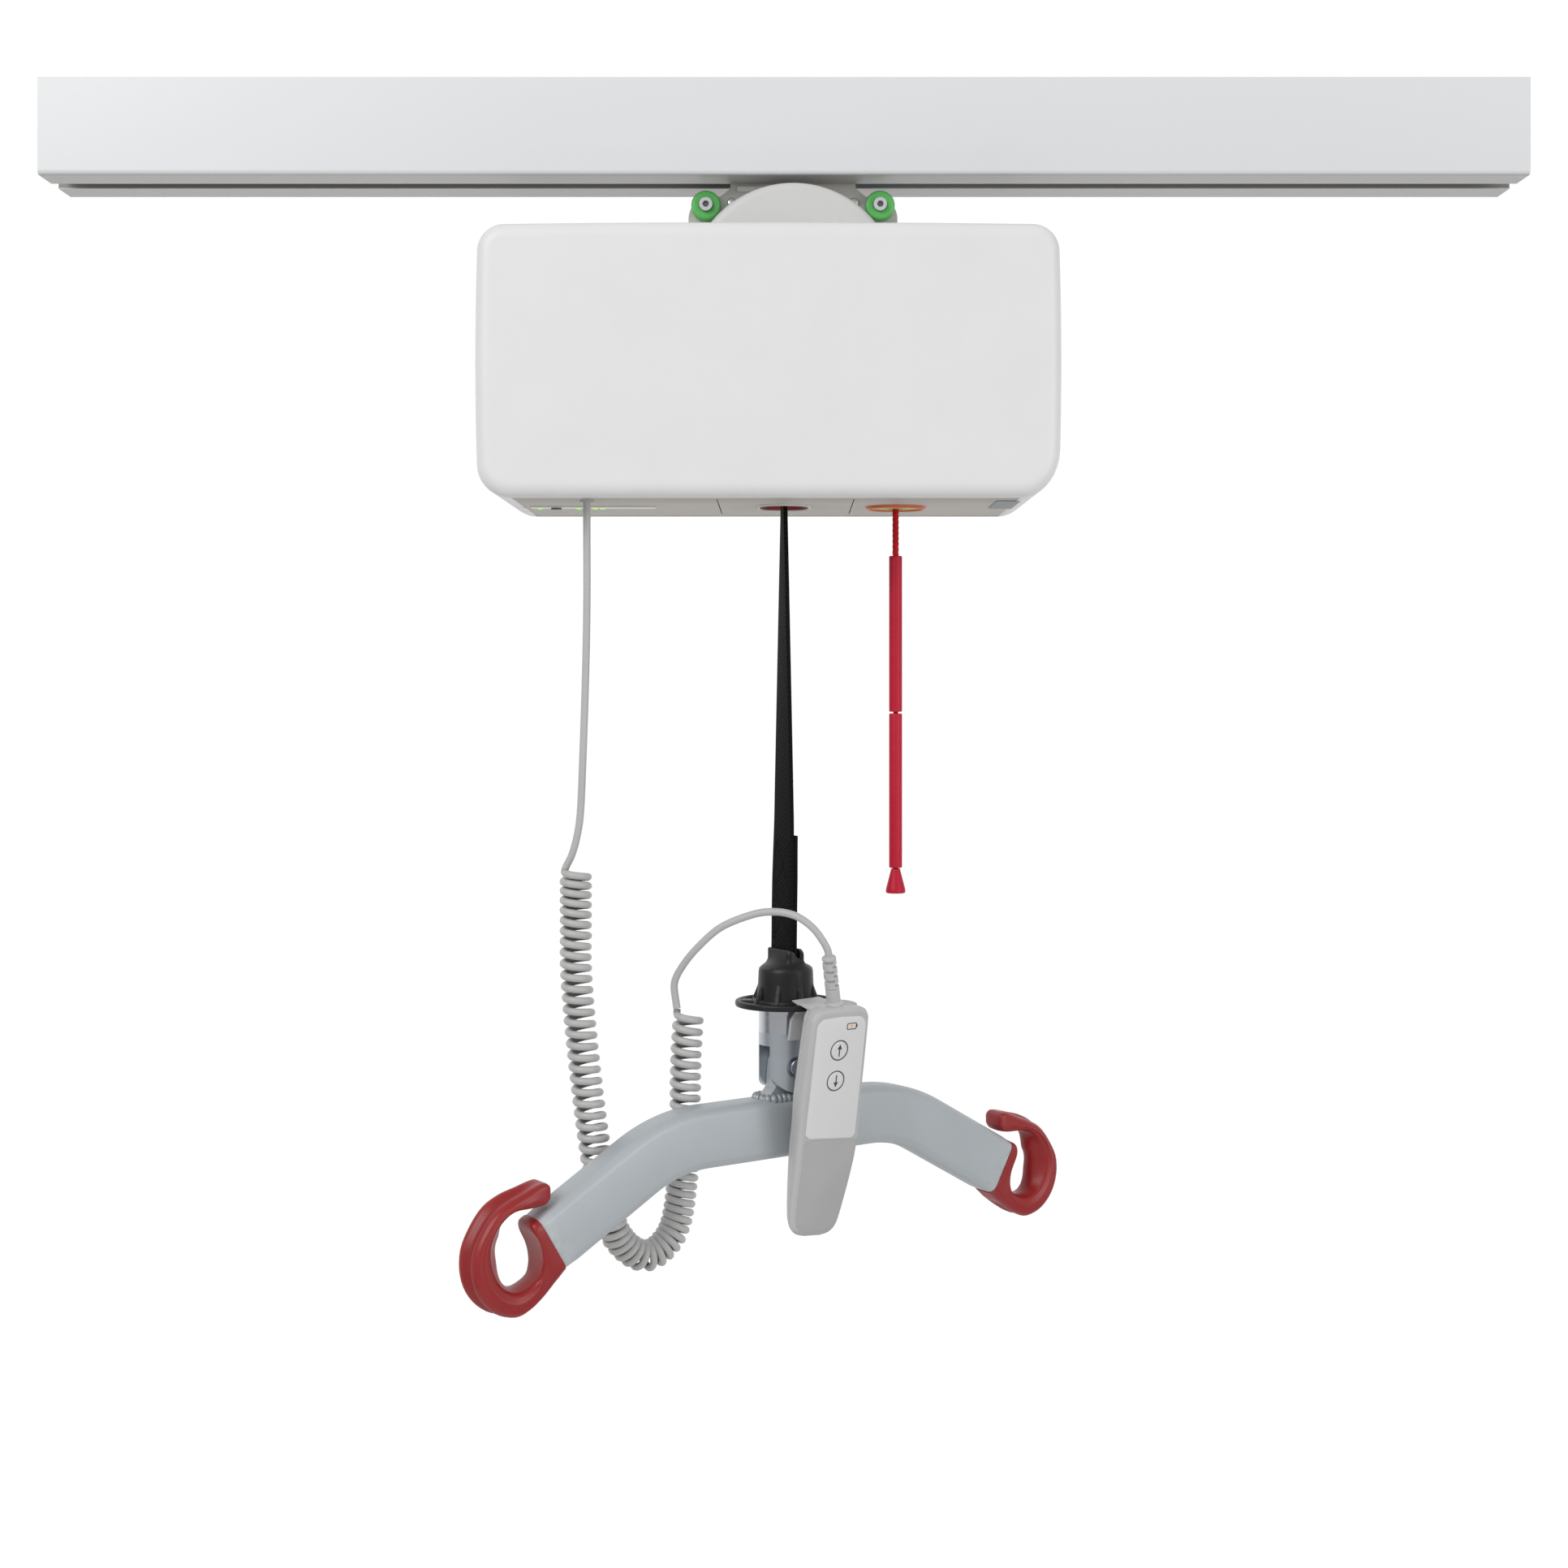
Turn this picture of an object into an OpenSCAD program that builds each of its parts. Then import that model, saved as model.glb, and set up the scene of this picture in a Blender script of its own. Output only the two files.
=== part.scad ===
// Ceiling track hoist on a short length of rail, with strap, spreader bar and handset.
// Millimetres, +Z up, origin at the centre of the rail's top face.

/* [Rail] */
// Length of the rail
rail_l = 980; // [960:10:1400]
// Width of the rail
rail_w = 72; // [70:0.5:78]
// Height of the rail
rail_h = 64; // [64:0.5:66]
// Wall of the rail's sides
rail_wall = 3.5; // [3:0.1:4]
// Width of the slot in the rail's underside
rail_slot = 15; // [14:0.5:17]
// Distance between the two ceiling bolt holes
ceiling_pitch = 800; // [760:10:820]
// Diameter of the ceiling bolt holes
ceiling_hole_d = 9; // [8.4:0.1:11]

/* [Trolley] */
// Centre of the trolley along the rail
trolley_x = 6; // [4:1:8]
// Distance between the two carriage axles
axle_pitch = 80; // [76:1:84]
// Diameter of the carriage wheels
wheel_d = 39.4; // [38.8:0.1:39.4]
// Diameter of the green rollers
roller_d = 19.8; // [16:0.2:20]
// Radius of the round dome
dome_r = 69; // [66:1:70]

/* [Casing] */
// Width of the casing
case_w = 370; // [369:0.5:372]
// Depth of the casing, front to back
case_d = 176; // [175:0.5:178]
// Height of the casing
case_h = 174; // [173.5:0.5:176]
// Wall of the covers
case_wall = 3; // [2.4:0.2:3]
// Radius of the casing's top corners
case_r_top = 16.5; // [14:0.5:17]
// Radius of the casing's bottom corners
case_r_low = 20.5; // [18:0.5:20.5]

/* [Strap] */
// Width of the lifting strap
strap_w = 22; // [20:0.5:22]
// Thickness of the lifting strap
strap_t = 2.6; // [2:0.1:2.6]

/* [Spreader bar] */
// Angle that the bar is turned from the rail
bar_yaw = 34; // [33:0.5:35]
// Thickness of the bar's tube
bar_t = 25; // [24:0.5:25]
// Height of the bar's tube
bar_h = 40; // [38:0.5:40]
// Wall of the bar's tube
bar_wall = 3; // [2:0.5:4]
// Tilt of the bar at rest
bar_roll = 0.7; // [0:0.1:1]
// Depth of the hooks
hook_t = 20; // [16:1:22]

/* [Handset] */
// Thickness of the handset
hand_t = 22; // [22:0.5:24]
// Lean of the handset on its ring
hand_lean = 11.5; // [11:0.5:12]

/* [Hidden] */
$fn = 64;
case_cx = -10;
case_top = -106;
case_low = case_top - case_h;
panel_z = -279.5;
drum_x = 44;
drum_z = -190;
wind_r = 45.3;
axle_z = -40;
pull_x = 75;
pivot_z = -654;
pin_z = -598;
bar_z = -694.5;
ring_z = -610.5;
bend_r = 100;
bend_s = 65;
arm_a = 30;
arm_l = 77.4;
rim_n = 32;
hand_s = 7.4;
relief_a = 15;
// point of the handset's frame, as placed on its ring
function hand_pt(p) = let (y = p[1] * cos(hand_lean) - p[2] * sin(hand_lean) - rim_n, z = p[1] * sin(hand_lean) + p[2] * cos(hand_lean) + ring_z)
    [p[0] * cos(bar_yaw) - y * sin(bar_yaw), p[0] * sin(bar_yaw) + y * cos(bar_yaw), z];
// point on the axis of the strain relief
function relief_pt(h) = hand_pt([hand_s - h * sin(relief_a), -15, 5 + h * cos(relief_a)]);

// routes of the handset cord
upper_route = [[-128, -52, -281], [-128, -52, -300], [-128, -52, -350], [-129, -52, -400], [-130.8, -51, -450],
               [-132.8, -49, -485], [-135, -47.5, -501], [-138.6, -46, -509.5], [-141.6, -45, -516], [-142, -45, -521.5]];
coil_route = [[-135, -45, -522], [-135, -45, -530], [-135, -45, -560], [-135, -45, -590], [-131, -45, -640], [-125, -44, -690],
              [-119, -41, -730], [-109, -35, -762], [-91, -27, -776], [-74, -20, -762], [-67.6, -16, -728],
              [-66, -15, -690], [-65.4, -15, -650], [-64, -15, -625], [-64, -15, -615]];
arc_route = [[-71.2, -15, -614.4], [-71.9, -15, -610], [-72.8, -17, -597], [-66.9, -21, -585], [-56.3, -27, -571.8], [-41, -33, -558.3],
             [-19.9, -38, -549.5], [-5.8, -41.5, -547.6], [5.6, -44.5, -549.2],
             [13.6, -46.8, -553.2], [20.2, -48.3, -558.9], [24.9, -48.6, -565.3], [27.3, -47.9, -569.4],
             relief_pt(38), relief_pt(36.4), relief_pt(34.4)];
// outline of a hook, out along the bar and up
hook_curve = [[197.2, -735.4], [193.6, -741.4], [190, -750], [189, -760], [193, -770], [203, -775.5], [213, -773], [221, -763],
              [223.5, -748], [219, -734], [208, -726.5], [196, -723.5], [186, -722], [183, -717], [186, -711.5],
              [198, -711], [211, -713.4], [222, -720], [231, -731.5], [238, -747], [238.3, -764], [232.5, -778], [221, -788.5],
              [206, -792], [195, -787.6], [183, -777]];
// half outline of the handset, down from its top
hand_curve = [[19, 5], [22.2, 2], [23, -6], [24, -40], [24.4, -70], [24, -95], [22.2, -120], [19.2, -143.5], [17.4, -150.3], [14, -152.4]];

// ---- helpers ----
function unit(v) = v / norm(v);
function cr(a, b, c, d, t) = 0.5 * ((2 * b) + (c - a) * t + (2 * a - 5 * b + 4 * c - d) * t * t + (3 * b - a - 3 * c + d) * t * t * t);
// smooth curve through points, k steps a span
function smooth(p, k) = [for (i = [0 : len(p) - 2]) for (j = [0 : k - 1])
    cr(p[max(i - 1, 0)], p[i], p[i + 1], p[min(i + 2, len(p) - 1)], j / k), p[len(p) - 1]];
function tang(p, i) = unit(p[min(i + 1, len(p) - 1)] - p[max(i - 1, 0)]);
function ring(c, t, r, n) = let (a = unit(cross([0, 1, 0], t)), b = cross(t, a))
    [for (k = [0 : n - 1]) c + r * cos(360 * k / n) * a + r * sin(360 * k / n) * b];
function tube_faces(m, n) = concat([[for (k = [0 : n - 1]) k]], [[for (k = [n - 1 : -1 : 0]) (m - 1) * n + k]],
    [for (i = [0 : m - 2]) for (k = [0 : n - 1]) [i * n + k, (i + 1) * n + k, (i + 1) * n + (k + 1) % n]],
    [for (i = [0 : m - 2]) for (k = [0 : n - 1]) [i * n + k, (i + 1) * n + (k + 1) % n, i * n + (k + 1) % n]]);
// round tube solid along a route
module sweep(p, r, n) {
    polyhedron(points = [for (i = [0 : len(p) - 1]) each ring(p[i], tang(p, i), r, n)], faces = tube_faces(len(p), n));
}
// box between two corners
module block(a, b) { translate(a) cube(b - a); }
// cylinder along Y between y0 and y1
module cyl_y(x, z, r, y0, y1) { translate([x, y1, z]) rotate([90, 0, 0]) cylinder(r = r, h = y1 - y0); }
// cylinder along X between x0 and x1
module cyl_x(y, z, r, x0, x1) { translate([x0, y, z]) rotate([0, 90, 0]) cylinder(r = r, h = x1 - x0); }
// vertical cylinder between z0 and z1
module cyl_z(x, y, r, z0, z1) { translate([x, y, z0]) cylinder(r = r, h = z1 - z0); }
// rounded rectangle with its own radius at the upper and lower corners
module round_rect(x0, x1, y0, y1, rl, rh) {
    translate([x0, y0 + rl]) square([x1 - x0, y1 - y0 - rl - rh]);
    translate([x0 + rl, y0]) square([x1 - x0 - 2 * rl, y1 - y0 - rh]);
    translate([x0 + rh, y0 + rl]) square([x1 - x0 - 2 * rh, y1 - y0 - rl]);
    for (x = [x0 + rl, x1 - rl]) translate([x, y0 + rl]) circle(r = rl);
    for (x = [x0 + rh, x1 - rh]) translate([x, y1 - rh]) circle(r = rh);
}
// drawing in X and Z carried along Y from y0 to y1
module along_y(y0, y1) { translate([0, y1, 0]) rotate([90, 0, 0]) linear_extrude(y1 - y0) children(); }
// frame of the bar: X along the bar, -Y out of its front
module on_bar() { rotate([0, 0, bar_yaw]) children(); }
// frame of the bar with its tilt about the pivot bolt
module on_tilt() { on_bar() translate([0, 0, pivot_z]) rotate([0, -bar_roll, 0]) translate([0, 0, -pivot_z]) children(); }
// frame of the handset on its ring
module on_hand() { on_bar() translate([0, -rim_n, ring_z]) rotate([hand_lean, 0, 0]) children(); }

// ---- rail ----
module rail_section() {
    difference() {
        round_rect(-rail_w / 2, rail_w / 2, -rail_h, 0, 3, 0.8);
        translate([-rail_w / 2 + rail_wall, -rail_h + 4]) square([rail_w - 2 * rail_wall, rail_h - 8]);
        translate([-rail_slot / 2, -rail_h - 1]) square([rail_slot, 6]);
    }
}
module rail() {
    color("whitesmoke") difference() {
        translate([-rail_l / 2, 0, 0]) rotate([90, 0, 90]) linear_extrude(rail_l) rail_section();
        for (x = [-ceiling_pitch / 2, ceiling_pitch / 2]) cyl_z(x, 0, ceiling_hole_d / 2, -5, 1);
    }
}
module end_stops() {
    color("dimgray") for (m = [0, 1]) mirror([m, 0, 0]) {
        block([rail_l / 2 - 24, -30, -58], [rail_l / 2 - 4, 30, -8]);
        cyl_x(0, axle_z, 10, rail_l / 2 - 36, rail_l / 2 - 24);
    }
}

// ---- trolley ----
module carriage_block() {
    color("gray") difference() {
        block([trolley_x - 60, -6, -56], [trolley_x + 60, 6, -24]);
        for (s = [-1, 1]) cyl_y(trolley_x + s * axle_pitch / 2, axle_z, 5.06, -10, 10);
    }
}
module axle(x) { color("silver") cyl_y(x, axle_z, 5, -25, 25); }
module wheel_pair(x) {
    color("gainsboro") for (m = [0, 1]) mirror([0, m, 0]) difference() {
        cyl_y(x, axle_z, wheel_d / 2, 9, 23);
        cyl_y(x, axle_z, 5.02, 8, 24);
    }
}
module left_axle() { axle(trolley_x - axle_pitch / 2); }
module right_axle() { axle(trolley_x + axle_pitch / 2); }
module left_wheels() { wheel_pair(trolley_x - axle_pitch / 2); }
module right_wheels() { wheel_pair(trolley_x + axle_pitch / 2); }
module hanger_plate() {
    color("tan") difference() {
        union() {
            along_y(-5, 5) {
                round_rect(trolley_x - 70, trolley_x + 70, -104, -72, 3, 15);
                polygon([[trolley_x - 42, -56], [trolley_x + 42, -56], [trolley_x + 42, -66.5], [trolley_x + 58, -80], [trolley_x - 58, -80], [trolley_x - 42, -66.5]]);
            }
            block([trolley_x - 20, -5, -138], [trolley_x + 20, 5, -100]);
        }
        for (s = [-1, 1]) cyl_y(trolley_x + s * 58, -79.5, 3.02, -6, 6);
        cyl_y(trolley_x, -126, 6, -6, 6);
    }
}
module suspension_dome() {
    color("lightgray") intersection() {
        cyl_y(trolley_x, -139.6, dome_r, -45, -12);
        block([trolley_x - 100, -50, case_top], [trolley_x + 100, 0, -66]);
    }
}
module roller_bolts() {
    color("silver") for (s = [-1, 1]) difference() {
        union() {
            cyl_y(trolley_x + s * 58, -79.5, 3, -15, 5);
            cyl_y(trolley_x + s * 58, -79.5, 4.4, -18, -15);
        }
        translate([trolley_x + s * 58, -16.2, -79.5]) rotate([90, 0, 0]) cylinder(r = 2.3, h = 3, $fn = 6);
    }
}
module roller(x) {
    color("limegreen") difference() {
        union() {
            cyl_y(x, -79.5, roller_d / 2, -14, -6);
            cyl_y(x, -79.5, roller_d / 2 - 1.4, -14.6, -5.4);
        }
        cyl_y(x, -79.5, 3.06, -20, 0);
    }
}
module left_roller() { roller(trolley_x - 58); }
module right_roller() { roller(trolley_x + 58); }

// ---- casing ----
module case_outline(in) {
    round_rect(case_cx - case_w / 2 + in, case_cx + case_w / 2 - in, case_low + in, case_top - in, case_r_low - in, case_r_top - in);
}
module cover_half() {
    difference() {
        along_y(-case_d / 2, -0.15) case_outline(0);
        along_y(-case_d / 2 + case_wall, 1) case_outline(case_wall);
        block([case_cx - 164, -78, case_low - 1], [case_cx + 164, 1, case_low + 8]);
        block([trolley_x - 24, -7, case_top - 8], [trolley_x + 24, 1, case_top + 1]);
    }
}
module front_cover() { color("whitesmoke") cover_half(); }
module rear_cover() { color("whitesmoke") mirror([0, 1, 0]) cover_half(); }
module bottom_panel() {
    color([0.72, 0.70, 0.67]) difference() {
        block([case_cx - 163.7, -77.7, panel_z], [case_cx + 163.7, 77.7, panel_z + 4]);
        block([-43.7, -60.5, panel_z - 1], [45.7, 60.5, panel_z + 5]);
        cyl_z(pull_x, 0, 5, panel_z - 1, panel_z + 5);
        cyl_z(-153, 0, 3.8, panel_z - 1, panel_z + 5);
    }
}
module strap_guide() {
    color([0.74, 0.72, 0.69]) difference() {
        block([-43, -60, panel_z], [45, 60, panel_z + 6]);
        translate([0, 0, panel_z - 1]) linear_extrude(8) round_rect(-18.2, 18.2, -24.2, 24.2, 17, 17);
    }
}
module strap_guide_liner() {
    color("firebrick") difference() {
        translate([0, 0, panel_z - 1.2]) linear_extrude(8) round_rect(-18, 18, -24, 24, 16.8, 16.8);
        block([-5, -15, panel_z - 3], [5, 15, panel_z + 9]);
    }
}
module chassis_plates() {
    color("darkgray") for (m = [0, 1]) mirror([0, m, 0]) difference() {
        block([-16, 18, -258], [104, 22, -114]);
        cyl_y(drum_x, drum_z, 16.05, 10, 30);
        cyl_y(trolley_x, -126, 6, 10, 30);
    }
}
module suspension_pin() { color("silver") cyl_y(trolley_x, -126, 5.95, -24, 24); }
module gearbox() {
    color("slategray") difference() {
        union() {
            cyl_y(drum_x, drum_z, 38, 22.2, 58);
            block([drum_x - 26, 22.2, -160], [drum_x + 40, 58, -126]);
        }
        cyl_y(drum_x, drum_z, 8.06, 20, 44);
    }
}
module motor() {
    color("black") union() {
        cyl_x(41, -143, 18, drum_x + 40.2, 158);
        cyl_x(41, -143, 9, 158, 164);
    }
}
module drum_bearings() {
    color("silver") for (m = [0, 1]) mirror([0, m, 0]) difference() {
        cyl_y(drum_x, drum_z, 16, 18, 22);
        cyl_y(drum_x, drum_z, 8.06, 17, 23);
    }
}
module drum_shaft() { color("silver") cyl_y(drum_x, drum_z, 8, -25, 42); }
module strap_drum() {
    color("dimgray") difference() {
        union() {
            cyl_y(drum_x, drum_z, 22, -14, 14);
            cyl_y(drum_x, drum_z, 50, -14, -11.4);
            cyl_y(drum_x, drum_z, 50, 11.4, 14);
        }
        cyl_y(drum_x, drum_z, 8.02, -20, 20);
    }
}
module strap_winding() {
    color("black") difference() {
        cyl_y(drum_x, drum_z, wind_r, -strap_w / 2, strap_w / 2);
        cyl_y(drum_x, drum_z, 22.05, -20, 20);
    }
}
module battery_packs() {
    color("darkslategray") for (m = [0, 1]) mirror([0, m, 0])
        along_y(6, 62) round_rect(-182, -74, -262, -194, 4, 4);
}
module control_board() { color("darkgreen") block([-180, -60, -176], [-70, 60, -174]); }
module indicator_strip() {
    color([0.8, 0.8, 0.77]) difference() {
        translate([0, 0, panel_z - 0.8]) linear_extrude(0.8) round_rect(-170, -86, -7, 7, 3, 3);
        cyl_z(-153, 0, 3.8, panel_z - 2, panel_z + 1);
    }
}
module indicator_lenses() {
    color("yellowgreen") for (x = [-164, -138, -127, -122]) cyl_z(x, 0, 1.7, panel_z - 1.4, panel_z - 0.8);
}
module power_button() {
    color("dimgray") union() {
        cyl_z(-153, 0, 3.5, panel_z - 1.8, panel_z + 4.4);
        cyl_z(-153, 0, 5.5, panel_z + 4.4, panel_z + 6);
    }
}
module charging_window() { color("gray") translate([0, 0, panel_z - 0.7]) linear_extrude(0.7) round_rect(138, 153.4, -52, 8, 2, 2); }
module cable_gland() { color("lightgray") cyl_z(-128, -52, 4.5, -281, panel_z); }
module pull_cord_ring() {
    color("orangered") translate([pull_x, 0, 0]) rotate_extrude() polygon([[5, panel_z], [20, panel_z], [20, panel_z - 1], [19, panel_z - 2], [6, panel_z - 2], [5, panel_z - 1.4]]);
}

// ---- emergency pull ----
module release_lever() {
    color("orange") difference() {
        union() {
            block([pull_x - 4, -4, -250], [pull_x + 30, 4, -244]);
            cyl_y(pull_x + 30, -247, 7, -4, 4);
        }
        cyl_y(pull_x + 30, -247, 2.5, -9, 9);
    }
}
module pull_rope() { color("red") cyl_z(pull_x, 0, 1.85, -524, -251); }
module pull_tubes() {
    color("crimson") for (z = [[-417.2, -312.5], [-522, -418.3]]) difference() {
        cyl_z(pull_x, 0, 4.4, z[0], z[1]);
        cyl_z(pull_x, 0, 1.9, z[0] - 1, z[1] + 1);
    }
}
module pull_cone() {
    color("crimson") translate([pull_x, 0, 0]) rotate_extrude()
        polygon([[0, -539], [6.6, -539], [6.6, -537], [3, -522.5], [1.9, -522.5], [1.9, -524.1], [0, -524.1]]);
}

// ---- strap ----
// turn of the strap at a height
function twist(z) = bar_yaw * min(1, max(0, (-236 - z) / 294));
function strap_ring(z, t) = let (a = twist(z), w = [sin(a), -cos(a), 0], h = cross([0, 0, -1], w))
    [for (q = [[1, 1], [-1, 1], [-1, -1], [1, -1]]) [0, 0, z] + q[0] * strap_w / 2 * w + q[1] * t / 2 * h];
module strap_run(z0, z1, t, m) {
    polyhedron(points = [for (i = [0 : m]) each strap_ring(z0 + (z1 - z0) * i / m, t)], faces = tube_faces(m + 1, 4));
}
module strap() {
    color("black") difference() {
        union() {
            strap_run(-208, -500, strap_t, 30);
            strap_run(-499, -575, 2 * strap_t, 12);
            on_bar() block([-strap_t, -strap_w / 2, -594], [strap_t, strap_w / 2, -574]);
            on_bar() cyl_y(0, pin_z, 4.2 + strap_t, -strap_w / 2, strap_w / 2);
        }
        on_bar() cyl_y(0, pin_z, 4.2, -20, 20);
    }
}

// ---- suspension ----
module bell() {
    color([0.13, 0.13, 0.13]) difference() {
        union() {
            rotate_extrude() polygon([[0, -614.5], [34, -614.5], [34, -610.5], [22.4, -610.5], [18.9, -598.5], [18.1, -591.5], [14, -586.8], [0, -586.8]]);
            on_bar() translate([0, 0, -588]) linear_extrude(12) round_rect(-7, 7, -13.8, 13.8, 4, 4);
            for (k = [0 : 7]) rotate([0, 0, bar_yaw - 45 + 45 * k + 22.5]) block([18, -1.2, -611], [22.5, 1.2, -604]);
        }
        translate([0, 0, -620]) cylinder(r = 16.2, h = 28.6);
        on_bar() block([-3.6, -11.6, -600], [3.6, 11.6, -570]);
        for (k = [0 : 3]) rotate([0, 0, bar_yaw - 90 + 90 * k - 36]) rotate_extrude(angle = 72) translate([22.5, -616]) square([8, 7.5]);
    }
}
module yoke() {
    color("silver") on_bar() difference() {
        union() {
            cyl_z(0, 0, 15.9, -611, -606);
            for (m = [0, 1]) mirror([0, m, 0]) block([-6, 11.4, -607], [6, 14, -592]);
        }
        cyl_y(0, pin_z, 4.02, -20, 20);
    }
}
module strap_pin() { color("silver") on_bar() cyl_y(0, pin_z, 4, -14, 14); }
module swivel_collar() {
    color("lightgray") union() {
        cyl_z(0, 0, 10, -616, -611.05);
        cyl_z(0, 0, 17, -631.6, -615);
    }
}
module fork() {
    color("silver") on_bar() difference() {
        intersection() {
            cyl_z(0, 0, 17, -672, -631.6);
            union() {
                block([-20, -20, pivot_z], [20, 20, -631]);
                cyl_y(0, pivot_z, 16.9, -20, 20);
            }
        }
        block([-20, -6.4, -680], [20, 6.4, -640]);
        cyl_y(0, pivot_z, 4.02, -20, 20);
        cyl_y(0, pivot_z, 8, -20, -14.5);
        cyl_y(0, pivot_z, 8, 14.5, 20);
    }
}
module pivot_bolt() {
    color("gainsboro") on_bar() difference() {
        union() {
            cyl_y(0, pivot_z, 4, -14.5, 21);
            cyl_y(0, pivot_z, 6.5, -19.5, -14.5);
        }
        translate([0, -17, pivot_z]) rotate([90, 0, 0]) cylinder(r = 2.9, h = 4, $fn = 6);
    }
}
module pivot_nut() {
    color("gainsboro") on_bar() difference() {
        translate([0, 20, pivot_z]) rotate([90, 0, 0]) cylinder(r = 7, h = 5.5, $fn = 6);
        cyl_y(0, pivot_z, 4.02, 10, 24);
    }
}

// ---- spreader bar ----
module bar_section(in) { round_rect(-bar_h / 2 + in, bar_h / 2 - in, -bar_t / 2 + in, bar_t / 2 - in, 8 - in, 8 - in); }
module bar_run(in, more) {
    translate([-bend_s - 1, 0, bar_z]) rotate([0, 90, 0]) linear_extrude(2 * bend_s + 2) bar_section(in + 0.06);
    for (m = [0, 1]) mirror([m, 0, 0]) {
        translate([bend_s, 0, bar_z - bend_r]) rotate([90, 0, 0]) rotate([0, 0, 90 - arm_a]) rotate_extrude(angle = arm_a) translate([bend_r, 0]) bar_section(in);
        translate([bend_s, 0, bar_z - bend_r]) rotate([0, arm_a, 0]) translate([-1, 0, bend_r]) rotate([0, 90, 0]) linear_extrude(arm_l + more + 1) bar_section(in + 0.06);
    }
}
module bar_tube() {
    color([0.70, 0.73, 0.75]) on_tilt() difference() {
        bar_run(0, 0);
        bar_run(bar_wall, 5);
    }
}
module bar_lug() {
    color([0.72, 0.75, 0.77]) on_tilt() difference() {
        union() {
            cyl_y(0, pivot_z, 9.5, -6, 6);
            along_y(-6, 6) polygon([[-9.5, pivot_z], [9.5, pivot_z], [11, -668], [17, bar_z + bar_h / 2], [-17, bar_z + bar_h / 2], [-11, -668]]);
        }
        cyl_y(0, pivot_z, 4.08, -20, 20);
    }
}
module weld_beads() {
    color([0.66, 0.69, 0.71]) on_tilt() for (m = [0, 1]) mirror([0, m, 0]) intersection() {
        union() for (i = [-3 : 3]) cyl_x(6, bar_z + bar_h / 2, 2.6 - 0.3 * abs(i % 2), i * 4.6 - 2.3, i * 4.6 + 2.3);
        block([-20, 6, bar_z + bar_h / 2], [20, 12, bar_z + bar_h / 2 + 6]);
    }
}
module hook() {
    // arm's end: its top and bottom corners and the way out
    e0 = [bend_s + bend_r * sin(arm_a) + arm_l * cos(arm_a), bar_z - bend_r * (1 - cos(arm_a)) - arm_l * sin(arm_a)];
    up = [sin(arm_a), cos(arm_a)] * bar_h / 2;
    union() {
        along_y(-hook_t / 2, hook_t / 2) polygon(concat([e0 + up], [for (q = concat([[196.4, -732.2]], smooth(hook_curve, 3))) q + [0, bar_z + 696.5]], [e0 - up]));
        translate([e0[0], 0, e0[1]]) rotate([0, 90 + arm_a, 0]) translate([0, 0, -16]) linear_extrude(18) bar_section(bar_wall + 0.2);
    }
}
module hook_left() { color([0.60, 0.16, 0.17]) on_tilt() mirror([1, 0, 0]) hook(); }
module hook_right() { color([0.60, 0.16, 0.17]) on_tilt() hook(); }

// ---- handset ----
function hand_outline() = let (c = smooth(hand_curve, 2)) concat([for (p = c) [p[0], p[1]]], [for (i = [len(c) - 1 : -1 : 0]) [-c[i][0], c[i][1]]]);
module hand_slab(y0, y1) { translate([hand_s, 0, 0]) along_y(y0, y1) polygon(hand_outline()); }
module button_at(z, r, y0, y1) { cyl_y(hand_s, z, r, y0, y1); }
module handset_front() {
    color([0.72, 0.72, 0.72]) on_hand() difference() {
        hand_slab(-4 - hand_t, -14);
        block([hand_s - 17, -20.5, -72], [hand_s + 17, -13, -1]);
        for (z = [-23, -44]) button_at(z, 6.4, -40, -19);
    }
}
module handset_back() {
    color([0.70, 0.70, 0.70]) on_hand() difference() {
        union() {
            hand_slab(-14, -4);
            block([-11, -6, 1.1], [11, 7.5, 5]);
            block([-11, 5, -26], [11, 7.5, 3]);
        }
        block([hand_s - 17, -15, -72], [hand_s + 17, -7, -1]);
    }
}
module keypad() {
    color([0.80, 0.80, 0.80]) on_hand() difference() {
        along_y(-4.8 - hand_t, -4 - hand_t) polygon([[hand_s - 17, 0], [hand_s + 17, 0], [hand_s + 19.5, -3], [hand_s + 20, -82], [hand_s + 18, -84], [hand_s - 18, -84], [hand_s - 20, -82], [hand_s - 19.5, -3]]);
        for (z = [-23, -44]) button_at(z, 6.4, -40, -19);
    }
}
module hand_button(z) {
    color([0.82, 0.82, 0.82]) on_hand() button_at(z, 6.1, -5.3 - hand_t, -22.2);
}
module up_button() { hand_button(-23); }
module down_button() { hand_button(-44); }
module handset_board() { color("darkgreen") on_hand() block([hand_s - 16, -13.5, -70], [hand_s + 16, -12, -3]); }
module strain_relief() {
    color([0.75, 0.75, 0.75]) on_hand() translate([hand_s, -15, 5]) rotate([0, -relief_a, 0]) intersection() {
        rotate_extrude() polygon([[0, -4], [5.4, -4], [5.2, 2], [4.7, 6], [4.6, 34.4], [0, 34.4]]);
        rotate([0, relief_a, 0]) block([-20, -20, 0], [20, 20, 60]);
    }
}

// ---- handset cord ----
module cord_upper() { color("lightgray") sweep(smooth(upper_route, 2), 2.5, 10); }
module cord_coil() { color("lightgray") sweep(smooth(coil_route, 2), 10.3, 12); }
module cord_arc() { color("lightgray") sweep(smooth(arc_route, 2), 2.5, 10); }

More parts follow.
